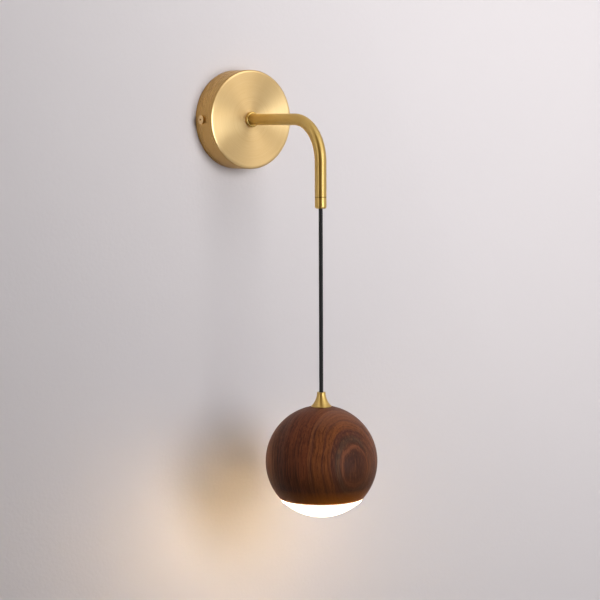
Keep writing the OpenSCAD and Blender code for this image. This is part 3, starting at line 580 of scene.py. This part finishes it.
def eased(route, centre=(0.0, 0.0, 0.0)):
    """Points of a smooth curve through a route's places."""
    spots = [Vector((side, -out, height)) / 1000 + Vector(centre) for side, out, height in route]
    last = len(spots) - 1
    points = []
    for i in range(last):
        a, b, c, d = spots[max(i - 1, 0)], spots[i], spots[i + 1], spots[min(i + 2, last)]
        for t in (step / EASE_STEPS for step in range(EASE_STEPS)):
            points.append(0.5 * (2 * b + (c - a) * t + (2 * a - 5 * b + 4 * c - d) * t * t
                                 + (3 * b - a - 3 * c + d) * t * t * t))
    return points + [spots[last]]


DRIVER_OUT = 16.033
BROWN_ROUTE = [(26, DRIVER_OUT, 22), (30, DRIVER_OUT, 22), (33, 13, 20), (34, 9, 12), (24, 6.5, 2),
               (12, 7, -6), (8, 8.5, -12), (8, 8.5, -17.5)]
BLUE_ROUTE = [(26, DRIVER_OUT, 26), (30, DRIVER_OUT, 26), (36, 16, 25), (38, 14, 16), (28, 13, 4),
              (12, 13, -5), (-2, 12, -8.5), (-7, 10, -10), (-8, 8.5, -12), (-8, 8.5, -17.5)]
EARTH_ROUTE = [(16.5, 5, 0), (13.5, 6, -1), (10, 8.5, -4), (4, 8, -7.5), (0, 8.5, -12), (0, 8.5, -17.5)]
RED_ROUTE = [(0, 13.3, 0.96), (0, 11.5, 0.96), (-2, 8, 1), (-8, 6, 5), (-20, 5.5, 9), (-32, 8, 14),
             (-36, 13, 20), (-30, DRIVER_OUT, 22), (-26, DRIVER_OUT, 22)]
BLACK_ROUTE = [(0, 13.3, -0.96), (0, 11.5, -0.96), (-1, 7, -1), (-8, 4, 3), (-20, 4, 12), (-34, 7, 19),
               (-36, 13, 25), (-30, DRIVER_OUT, 26), (-26, DRIVER_OUT, 26)]

supply_pair = sheathed("supply_pair", [eased(BROWN_ROUTE), eased(BLUE_ROUTE)], LEAD_D, [BROWN, BLUE])
install(supply_pair, "wall_fixture", "leads_brown_blue", "supply_leads")
earth_wire = sheathed("earth_wire", [eased(EARTH_ROUTE)], LEAD_D, [EARTH])
install(earth_wire, "wall_fixture", "lead_earth", "earth_lead")
output_pair = sheathed("output_pair", [eased(RED_ROUTE), eased(BLACK_ROUTE)], LEAD_D, [RED, BLACK])
install(output_pair, "wall_fixture", "leads_red_black", "output_leads")

# %% [markdown]
# In the ball the cord's two cores go on down to the light board, mirrored left and right.

# %% Leads in the ball
BALL_Z = -0.334808
BALL = (0.0, -REACH, BALL_Z)


def board_route(side):
    half = [(1, 16.5), (1, 10.7), (1.2, -8), (1.2, -21.6), (1.6, -24.6), (3.6, -26.5), (6, -25.5), (8, -25.5)]
    return eased([(side * x, 0, z) for x, z in half], BALL)


board_pair = sheathed("board_pair", [board_route(-1), board_route(1)], LEAD_D, [RED, BLACK])
install(board_pair, "shade", "leads_red_black", "led_leads")

# %% [markdown]
# ## Light chips
#
# Twenty-four small light chips stand on the board in two rings. Each is a white frame with a sunk yellow
# field of phosphor. That is one shape, repeated, so a tree makes it once, by pressing in the underside of a
# small block, and puts it on the points of two circles, turned outwards.

# %% Chip finishes
def chip_frame():
    frame_white = Finish("chip_frame")
    cloud = frame_white.noise(frame_white.place(), 1.5, detail=3.0)
    return frame_white.shade(Base_Color=frame_white.mix(cloud, tone(226, 224, 216), tone(244, 242, 236)),
                             Roughness=0.45, Normal=frame_white.bump(cloud, 0.00001))


def phosphor():
    yellow = Finish("chip_phosphor")
    grain = yellow.noise(yellow.place(), 6.0, detail=2.0)
    return yellow.shade(Base_Color=yellow.mix(grain, tone(232, 190, 60), tone(246, 214, 96)),
                        Roughness=yellow.span(grain, 0.3, 0.7, 0.25, 0.4), Emission_Color=tone(255, 226, 150),
                        Emission_Strength=2.0, Normal=yellow.bump(grain, 0.00002))


CHIP_FRAME = chip_frame()
PHOSPHOR = phosphor()
print("chip finishes", CHIP_FRAME.name, PHOSPHOR.name)

# %% Chips on two rings
FIELD_SHARE = 0.78
FIELD_DEPTH = 0.00012
CHIP_WIDTH = 0.003
CHIP_HEIGHT = 0.0007
CHIP_LEVEL = -0.02495
OUTER_COUNT = 16
OUTER_R = 0.0255
INNER_COUNT = 8
INNER_R = 0.0125


def chip_tree():
    tree, given, result = tree_with("chips", [("Width", "Float"), ("Height", "Float"), ("Level", "Float"),
                                              ("Outer Count", "Int"), ("Outer Radius", "Float"),
                                              ("Inner Count", "Int"), ("Inner Radius", "Float"),
                                              ("Frame", "Material"), ("Phosphor", "Material")])
    size = grow(tree, "ShaderNodeCombineXYZ", {0: given["Width"], 1: given["Width"], 2: given["Height"]})
    block = grow(tree, "GeometryNodeMeshCube", {"Size": size.outputs[0]})
    normal = grow(tree, "ShaderNodeSeparateXYZ", {0: grow(tree, "GeometryNodeInputNormal").outputs[0]})
    under = grow(tree, "ShaderNodeMath", {0: normal.outputs["Z"], 1: -0.9}, operation="LESS_THAN")
    ledge = grow(tree, "GeometryNodeExtrudeMesh",
                 {"Mesh": block.outputs["Mesh"], "Selection": under.outputs[0], "Offset Scale": 0.0})
    field = grow(tree, "GeometryNodeScaleElements", {"Geometry": ledge.outputs["Mesh"],
                                                     "Selection": ledge.outputs["Top"],
                                                     "Scale": FIELD_SHARE})
    sunk = grow(tree, "GeometryNodeExtrudeMesh", {"Mesh": field.outputs["Geometry"],
                                                  "Selection": ledge.outputs["Top"],
                                                  "Offset Scale": -FIELD_DEPTH})
    rings = grow(tree, "GeometryNodeJoinGeometry")
    for which in ("Inner", "Outer"):
        ring = grow(tree, "GeometryNodeMeshCircle", {"Vertices": given[which + " Count"],
                                                     "Radius": given[which + " Radius"]})
        half_step = grow(tree, "ShaderNodeMath", {0: math.pi, 1: given[which + " Count"]}, operation="DIVIDE")
        turn = grow(tree, "ShaderNodeCombineXYZ", {2: half_step.outputs[0]})
        drop = grow(tree, "ShaderNodeCombineXYZ", {2: given["Level"]})
        moved = grow(tree, "GeometryNodeTransform", {"Geometry": ring.outputs["Mesh"],
                                                     "Translation": drop.outputs[0],
                                                     "Rotation": turn.outputs[0]})
        tree.links.new(moved.outputs[0], rings.inputs[0])
    spot = grow(tree, "ShaderNodeSeparateXYZ", {0: grow(tree, "GeometryNodeInputPosition").outputs[0]})
    angle = grow(tree, "ShaderNodeMath", {0: spot.outputs["Y"], 1: spot.outputs["X"]}, operation="ARCTAN2")
    outward = grow(tree, "ShaderNodeCombineXYZ", {2: angle.outputs[0]})
    placed = grow(tree, "GeometryNodeInstanceOnPoints", {"Points": rings.outputs[0],
                                                         "Instance": sunk.outputs["Mesh"],
                                                         "Rotation": outward.outputs[0]})
    centred = grow(tree, "GeometryNodeTransform", {"Geometry": placed.outputs[0], "Translation": BALL})
    whole = grow(tree, "GeometryNodeRealizeInstances", {"Geometry": centred.outputs[0]})
    framed = grow(tree, "GeometryNodeSetMaterial", {"Geometry": whole.outputs[0], "Material": given["Frame"]})
    filled = grow(tree, "GeometryNodeSetMaterial", {"Geometry": framed.outputs[0],
                                                    "Selection": sunk.outputs["Top"],
                                                    "Material": given["Phosphor"]})
    tree.links.new(filled.outputs[0], result["Geometry"])
    return tree


chips = made_by(chip_tree(), "light_chips", bpy.data.meshes.new("chip_seed"),
                {"Width": CHIP_WIDTH, "Height": CHIP_HEIGHT, "Level": CHIP_LEVEL,
                 "Outer Count": OUTER_COUNT, "Outer Radius": OUTER_R,
                 "Inner Count": INNER_COUNT, "Inner Radius": INNER_R,
                 "Frame": CHIP_FRAME, "Phosphor": PHOSPHOR})
install(chips, "shade", "chip_yellow", "led_chips")

# %% [markdown]
# ## Brass
#
# Canopy, collar, arm, ferrule and cone are satin brass under clear lacquer. On spun and turned brass the
# brush runs in circles, and its grooves spread a highlight across themselves, which gives the fan of light
# on the canopy's face. Tiny circles in the mesh would be far too many faces, so the grooves are a bump from
# noise that is fine across the circle and slow along it, and the shader's anisotropy does the fan.

# %% Brass tones and the canopy's edge
SPUN_TONES = (tone(218, 180, 120), tone(233, 201, 148))
TUBE_TONES = (tone(200, 163, 90), tone(215, 183, 114))
# Painted shade: a dark tone for the shadow in the ferrule's seam.
SEAM_SHADE = tone(120, 90, 40)
# Painted shade: a darker tone for the canopy's side, for the dim wall that it mirrors.
SIDE_SHADE = tone(196, 156, 94)
BRASS_EDGE = (1.0, 0.95, 0.85, 1.0)
CHAMFER = (47.6, 48.0)
CHAMFER_TURN = 0.28
ROLL = (49.2, 50.0)
ROLL_TURN = 1.29
SIDE_SHADE_FADE = (49.2, 49.9)
EDGE_GLOSS = 0.7


def dress(material, *names):
    """Puts a finish on CAD nodes."""
    for name in names:
        held = nodes[name].data.materials
        held.clear()
        held.append(material)
    print(material.name, "on", ", ".join(names))


def rolled_edge(brass, radius, unit):
    """The canopy's direction where its face rolls over into its side, by the distance from its axis."""
    turn = brass.math("ADD", brass.span(radius, *CHAMFER, 0.0, CHAMFER_TURN),
                      brass.span(radius, *ROLL, 0.0, ROLL_TURN))
    sideways = brass.math("SINE", turn)
    outwards = brass.math("MULTIPLY", brass.math("COSINE", turn), -1.0)
    rolled = brass.join(brass.math("MULTIPLY", unit[0], sideways), outwards,
                        brass.math("MULTIPLY", unit[1], sideways))
    plain = brass.node("NewGeometry", out="Normal")
    outside = brass.math("GREATER_THAN", brass.vector("DOT_PRODUCT", rolled, plain, out="Value"), 0.5)
    return brass.node("Mix", {0: outside, 4: plain, 5: rolled}, out=1, data_type="VECTOR")


# %% Spun brass
def spun_brass(name, tones, centre, axis, anisotropy, roughness, groove, edge=None, seam=None):
    """Brass brushed in circles about an axis, 1 for Y and 2 for Z, with painted shade under a seam at a
    height in mm.
    """
    brass = Finish(name)
    where = brass.place(centre)
    parts = brass.split(where)
    across = [parts[i] for i in range(3) if i != axis]
    radius = brass.from_axis(*across)
    unit = [brass.math("DIVIDE", value, brass.math("MAXIMUM", radius, 0.01)) for value in across]
    lay = brass.vector("MULTIPLY", brass.join(radius, unit[0], unit[1]), (1.0, 2.0, 2.0))
    fine = brass.noise(lay, 1.0, detail=6.0, roughness=0.75, w=parts[axis])
    broad = brass.noise(lay, 0.22, detail=3.0, roughness=0.6, w=parts[axis])
    tarnish = brass.noise(where, 0.035, detail=4.0)
    rings = brass.noise(brass.join(radius, 0.0, 0.0), 0.9, detail=4.0, roughness=0.7, w=parts[axis])
    blend = brass.math("MULTIPLY_ADD", rings, 0.5, brass.math("MULTIPLY", fine, 0.3))
    blend = brass.math("MULTIPLY_ADD", tarnish, 0.2, blend)
    blend = brass.span(blend, 0.3, 0.7)
    spin = [0.0, 0.0, 0.0]
    spin[axis] = 1.0
    brush = brass.to_world(brass.vector("CROSS_PRODUCT", where, spin))
    height = brass.math("MULTIPLY_ADD", broad, 0.5, brass.math("MULTIPLY", fine, 0.5))
    colour = brass.mix(blend, *tones)
    gloss = brass.span(broad, 0.3, 0.7, roughness - 0.05, roughness + 0.06)
    if edge:
        facing = brass.eased_edges(edge)
    else:
        facing = rolled_edge(brass, radius, unit)
        # Painted shade: the canopy's side turns darker past the face's edge.
        colour = brass.mix(brass.span(radius, *SIDE_SHADE_FADE), colour, SIDE_SHADE)
        gloss = brass.math("MULTIPLY", gloss, brass.span(radius, *CHAMFER, 1.0, EDGE_GLOSS))
    # Painted shade: a dark line just under the seam, for the shadow in its gap.
    if seam:
        colour = brass.mix(brass.span(parts[axis], seam - 0.9, seam - 0.4), colour, SEAM_SHADE)
    return brass.shade(Base_Color=colour, Metallic=1.0, Specular_Tint=BRASS_EDGE, Anisotropic=anisotropy,
                       Anisotropic_Rotation=0.25, Tangent=brush, Roughness=gloss,
                       Normal=brass.bump(height, groove, facing))


ARM_LINE = (0, 0, 0)
HANG_LINE = (0, -REACH, 0)
FERRULE_TOP = MOUTH_Z * 1000 + 11.5
dress(spun_brass("canopy_brass", SPUN_TONES, ARM_LINE, axis=1, anisotropy=0.9, roughness=0.42,
                 groove=0.000016), "canopy")
dress(spun_brass("collar_brass", TUBE_TONES, ARM_LINE, axis=1, anisotropy=0.2, roughness=0.16,
                 groove=0.000002, edge=0.0006), "arm_collar")
dress(spun_brass("ferrule_brass", TUBE_TONES, HANG_LINE, axis=2, anisotropy=0.7, roughness=0.34,
                 groove=0.000003, edge=0.0002, seam=FERRULE_TOP), "end_ferrule")
dress(spun_brass("cone_brass", TUBE_TONES, HANG_LINE, axis=2, anisotropy=0.7, roughness=0.34,
                 groove=0.000003, edge=0.0004), "cone_cap")

# %% [markdown]
# The tube is bent and then buffed all round, so its fine scratches run round it and draw a highlight out
# along it. The direction along the tube turns with the bend: it is square to the line from the bend's
# centre, which is held straight up before the bend and straight out after it. Screws and the turned pieces
# inside take a plainer finish.

# %% Buffed tube and plain brass
def buffed_tube():
    brass = Finish("tube_brass")
    where = brass.place((0.0, BEND_R - REACH, -BEND_R))
    _, out, height = brass.split(where)
    before = brass.math("MAXIMUM", height, 0.0)
    after = brass.math("MULTIPLY", brass.math("MINIMUM", out, 0.0), -1.0)
    brush = brass.to_world(brass.join(0.0, before, after))
    cloud = brass.noise(where, 0.06, detail=5.0)
    scratch = brass.noise(where, 1.4, detail=6.0, roughness=0.7)
    return brass.shade(Base_Color=brass.mix(cloud, *TUBE_TONES), Metallic=1.0, Specular_Tint=BRASS_EDGE,
                       Anisotropic=0.85, Tangent=brush, Normal=brass.bump(scratch, 0.000003),
                       Roughness=brass.span(scratch, 0.3, 0.7, 0.34, 0.42))


def drawn_brass(name, roughness):
    brass = Finish(name)
    where = brass.place()
    cloud = brass.noise(where, 0.06, detail=5.0)
    scratch = brass.noise(where, 1.4, detail=6.0, roughness=0.7)
    return brass.shade(Base_Color=brass.mix(cloud, *SPUN_TONES), Metallic=1.0, Specular_Tint=BRASS_EDGE,
                       Roughness=brass.span(scratch, 0.3, 0.7, roughness - 0.04, roughness + 0.05),
                       Normal=brass.bump(scratch, 0.000003, brass.eased_edges(0.0003)))


dress(buffed_tube(), "arm_tube")
dress(drawn_brass("screw_brass", 0.24), "canopy_screws")
dress(drawn_brass("plain_brass", 0.34), "arm_nipple", "shade_nipple", "terminal_barrels", "earth_screw")

# %% [markdown]
# ## Walnut
#
# The ball is turned from one block. Its growth layers lie nearly flat and face the room, so the ball cuts
# them in rings round a spot on its front, and in upright stripes at its sides. Painting that on would slide
# and stretch; instead the colour is worked out in the solid, from the depth behind that spot, so the figure
# runs through the wood as it does in a real block. Broad zones of colour, layer lines, upright streaks and
# short pores are four layers of the same idea. Depth grows slowly near the spot and fast at the sides, so
# the lines count in a power of the depth, which spaces them evenly over the ball. Light is painted into the
# colour as well: a painted highlight makes the top pale inside the rings, painted shade darkens the wood from
# the middle down, and the lit cap's glow is painted golden along the rim.

# %% Walnut tones
BALL_R = 55.0
FRONT = (0.01, -0.999, 0.034)
HEART = tone(68, 40, 30)
RUST = tone(124, 70, 38)
ASH = tone(78, 56, 44)
PLUM = tone(88, 50, 38)
UMBER = tone(118, 62, 36)
CLAY = tone(112, 66, 46)
HONEY = tone(150, 90, 54)
ZONES = [(0.0, HEART), (1.2, HEART), (1.6, CLAY), (2.9, CLAY), (3.5, ASH), (5.6, ASH), (6.4, PLUM),
         (8.4, PLUM), (9.4, RUST), (13.6, RUST), (14.2, PLUM), (15.2, RUST), (21.6, RUST), (22.6, PLUM),
         (24.2, HONEY), (25.6, UMBER), (48.0, UMBER), (53.0, CLAY), (59.0, CLAY), (63.0, RUST),
         (78.0, HONEY), (110.0, RUST)]
BAND_DARK = tone(70, 37, 25)
LINE_DARK = tone(54, 30, 22)
PORE_DARK = tone(38, 20, 14)
STREAK_DARK = tone(46, 26, 20)
# Painted highlight: a paler tone for the top of the ball.
TOP_HIGHLIGHT = tone(150, 96, 70)
# Painted shade: a darker tone for the lower half of the ball.
LOW_SHADE = tone(62, 31, 6)
# Painted light from the lit cap: a warm and then a golden tone along the rim.
CAP_GLOW_WARM = tone(136, 74, 10)
CAP_GLOW_GOLD = tone(200, 112, 4)
RIM_Z = -36.0
LINE_POWER = 0.6
LINE_COUNT = 6.0
print("walnut zones", len(ZONES))

# %% Walnut
def wood_depth(wood, where, x, z):
    """How deep a place lies behind the front spot, in layers that bend and ripple a little."""
    depth = wood.math("SUBTRACT", BALL_R, wood.vector("DOT_PRODUCT", where, FRONT, out="Value"))
    depth = wood.math("MULTIPLY_ADD", wood.math("MULTIPLY", x, x), 1 / 500, depth)
    low = wood.math("MAXIMUM", wood.math("DIVIDE", z, -23.0), 0.0)
    depth = wood.math("SUBTRACT", depth, wood.math("POWER", low, 4.0))
    high = wood.math("MAXIMUM", wood.math("DIVIDE", z, 20.0), 0.0)
    depth = wood.math("SUBTRACT", depth, wood.math("POWER", high, 2.3))
    drift = wood.noise(where, 0.02, detail=2.0)
    ripple = wood.noise(wood.vector("MULTIPLY", where, (1.0, 1.0, 0.3)), 0.12, detail=3.0)
    depth = wood.math("ADD", depth, wood.span(drift, 0.0, 1.0, -3.5, 3.5))
    return wood.math("ADD", depth, wood.span(ripple, 0.0, 1.0, -0.7, 0.7))


def walnut():
    wood = Finish("walnut_oiled")
    where = wood.place(BALL)
    x, _, z = wood.split(where)
    depth = wood_depth(wood, where, x, z)
    last = ZONES[-1][0]
    zones = wood.ramp(wood.math("DIVIDE", depth, last), [(at / last, colour) for at, colour in ZONES])
    right = wood.math("MULTIPLY", wood.span(x, 9.0, 16.0, 0.0, 0.6), wood.span(depth, 8.0, 14.0, 1.0, 0.0))
    zones = wood.mix(right, zones, RUST)
    step = wood.math("POWER", wood.math("MAXIMUM", wood.math("ADD", depth, 2.0), 0.0), LINE_POWER)
    layer = wood.join(wood.math("MULTIPLY", x, 0.05), wood.math("MULTIPLY", step, LINE_COUNT),
                      wood.math("MULTIPLY", z, 0.02))
    lines = wood.noise(layer, 1.0, detail=3.0, roughness=0.6)
    bands = wood.noise(layer, 0.3, detail=2.0)
    pores = wood.noise(wood.vector("MULTIPLY", where, (1.0, 1.0, 0.06)), 2.0, detail=2.0)
    pore_mask = wood.span(pores, 0.6, 0.72)
    streaks = wood.noise(wood.vector("MULTIPLY", where, (1.0, 1.0, 0.09)), 0.5, detail=3.0, roughness=0.65)
    colour = wood.mix(wood.span(bands, 0.4, 0.7, 0.0, 0.45), zones, BAND_DARK)
    colour = wood.mix(wood.span(lines, 0.4, 0.64, 0.0, 0.7), colour, LINE_DARK)
    colour = wood.mix(wood.math("MULTIPLY", pore_mask, 0.55), colour, PORE_DARK)
    colour = wood.mix(wood.span(streaks, 0.5, 0.66, 0.0, 0.42), colour, STREAK_DARK)
    colour = wood.mix(wood.span(streaks, 0.46, 0.34, 0.0, 0.2), colour, HONEY)
    # Painted highlight: the top of the ball, inside the rings, turns paler.
    inside = wood.span(depth, 24.0, 27.0, 1.0, 0.2)
    pale = wood.math("MULTIPLY", wood.span(z, 36.0, 54.0, 0.0, 0.5), inside)
    colour = wood.mix(pale, colour, TOP_HIGHLIGHT)
    # Painted shade: the wood turns darker from the middle down.
    colour = wood.mix(wood.span(z, 6.0, -16.0, 0.0, 0.6), colour, LOW_SHADE)
    # Painted light from the lit cap: warmer, then golden, towards the rim.
    colour = wood.mix(wood.span(z, -22.0, -33.0, 0.0, 0.8), colour, CAP_GLOW_WARM)
    colour = wood.mix(wood.span(z, -33.4, RIM_Z, 0.0, 0.9), colour, CAP_GLOW_GOLD)
    height = wood.math("SUBTRACT", wood.math("MULTIPLY", lines, 0.3), pore_mask)
    return wood.shade(Base_Color=colour, Roughness=wood.span(lines, 0.3, 0.7, 0.42, 0.55),
                      Specular_IOR_Level=0.12, Normal=wood.bump(height, 0.00006))


dress(walnut(), "wood_ball")

# %% [markdown]
# ## Opal cap
#
# The cap is milky acrylic, lit from inside. To the eye it is plain white all over, but what it throws on the
# wall is strong and warm. One even glow would leave the wall beside the ball too dark: most of the light
# leaves by a band near the rim, close to the outer ring of light chips. So the glow is strong in that band
# and faint below it, and it is faint again along the wood, which keeps the edge between them soft.

# %% Opal
GLOW_LOW = (0.032, 0.027, 0.021, 1.0)
GLOW_BAND = (1.0, 0.70, 0.34, 1.0)
GLOW_EDGE = (0.0101, 0.0082, 0.0054, 1.0)
GLOW_STRENGTH = 105.0
BAND_FOOT = (-41.5, -40.5)
BAND_TOP = (-37.9, -37.4)


def opal():
    cap = Finish("opal_lit")
    where = cap.place(BALL)
    cloud = cap.noise(where, 0.05, detail=3.0)
    height = cap.split(where)[2]
    glow = cap.mix(cap.span(height, *BAND_FOOT), GLOW_LOW, GLOW_BAND)
    glow = cap.mix(cap.span(height, *BAND_TOP), glow, GLOW_EDGE)
    return cap.shade(Base_Color=tone(244, 242, 236), Roughness=cap.span(cloud, 0.3, 0.7, 0.25, 0.35),
                     Subsurface_Weight=0.3, Subsurface_Radius=(0.004, 0.004, 0.003),
                     Emission_Color=glow, Emission_Strength=GLOW_STRENGTH,
                     Normal=cap.bump(cloud, 0.00002))


dress(opal(), "diffuser")

# %% [markdown]
# ## What is inside
#
# Pressed steel has a bluish zinc coat with a faint cloud of crystals. Moulded plastics have the fine dull
# grain of a spark-cut mould. They are seen through the open back and when the cap is pulled off.

# %% Steel and aluminium
def plated(name, dark, light, roughness, cell):
    """Metal with a patchy coat: cells of slightly different tone and gloss."""
    coat = Finish(name)
    where = coat.place()
    patch = coat.cells(where, cell)
    cloud = coat.noise(where, 0.3, detail=5.0)
    both = coat.math("MULTIPLY_ADD", patch, 0.4, coat.math("MULTIPLY", cloud, 0.6))
    return coat.shade(Base_Color=coat.mix(both, dark, light), Metallic=1.0,
                      Roughness=coat.span(both, 0.2, 0.8, roughness - 0.08, roughness + 0.1),
                      Normal=coat.bump(cloud, 0.000006))


dress(plated("zinc_plate", tone(176, 182, 188), tone(214, 216, 218), roughness=0.34, cell=0.5),
      "wall_bracket", "lock_washer", "lock_nut", "shade_washer", "shade_nut", "terminal_screws",
      "terminal_fixing_screw", "cord_stop_screw", "heat_sink_screws", "board_screws")
dress(plated("bare_aluminium", tone(186, 188, 192), tone(216, 217, 219), roughness=0.42, cell=1.2),
      "heat_sink")

# %% Plastics, foam and rubber
def moulded(name, dark, light, roughness, grain, depth):
    """Plastic with a mould's dull grain and a faint unevenness of tone."""
    plastic = Finish(name)
    where = plastic.place()
    cloud = plastic.noise(where, 0.12, detail=4.0)
    skin = plastic.noise(where, grain, detail=3.0)
    return plastic.shade(Base_Color=plastic.mix(cloud, dark, light), Normal=plastic.bump(skin, depth),
                         Roughness=plastic.span(skin, 0.3, 0.7, roughness - 0.06, roughness + 0.06))


dress(moulded("driver_plastic", tone(222, 222, 218), tone(236, 236, 233), roughness=0.5, grain=3.0,
              depth=0.00003), "driver_case", "driver_lid")
dress(moulded("natural_nylon", tone(224, 220, 206), tone(238, 235, 224), roughness=0.42, grain=1.5,
              depth=0.00002), "terminal_block", "nipple_bush")
dress(moulded("dark_nylon", tone(40, 40, 41), tone(58, 58, 59), roughness=0.45, grain=1.5,
              depth=0.00002), "cord_grip", "cord_stop")
dress(moulded("grey_foam", tone(96, 96, 98), tone(128, 128, 130), roughness=0.9, grain=2.2,
              depth=0.0002), "driver_tape")
dress(moulded("soft_rubber", tone(30, 30, 30), tone(46, 46, 46), roughness=0.7, grain=2.0,
              depth=0.00003), "diffuser_ring")

# %% [markdown]
# The light board is aluminium under white solder mask. Its copper tracks run in rings under the mask and
# show as a faint step, so the finish lifts the surface by a few hundredths of a millimetre where they are.

# %% Light board
TRACK_TURN = 1.45  # radians per millimetre


def board_mask():
    mask = Finish("white_mask")
    where = mask.place(BALL)
    x, y, _ = mask.split(where)
    wave = mask.math("SINE", mask.math("MULTIPLY", mask.from_axis(x, y), TRACK_TURN))
    track = mask.span(wave, -0.1, 0.1)
    cloud = mask.noise(where, 0.2, detail=4.0)
    paint = mask.mix(track, tone(226, 227, 224), tone(238, 238, 236))
    return mask.shade(Base_Color=mask.mix(mask.math("MULTIPLY", cloud, 0.2), paint, tone(214, 214, 208)),
                      Roughness=mask.span(cloud, 0.3, 0.7, 0.3, 0.42), Normal=mask.bump(track, 0.00004))


dress(board_mask(), "led_board")
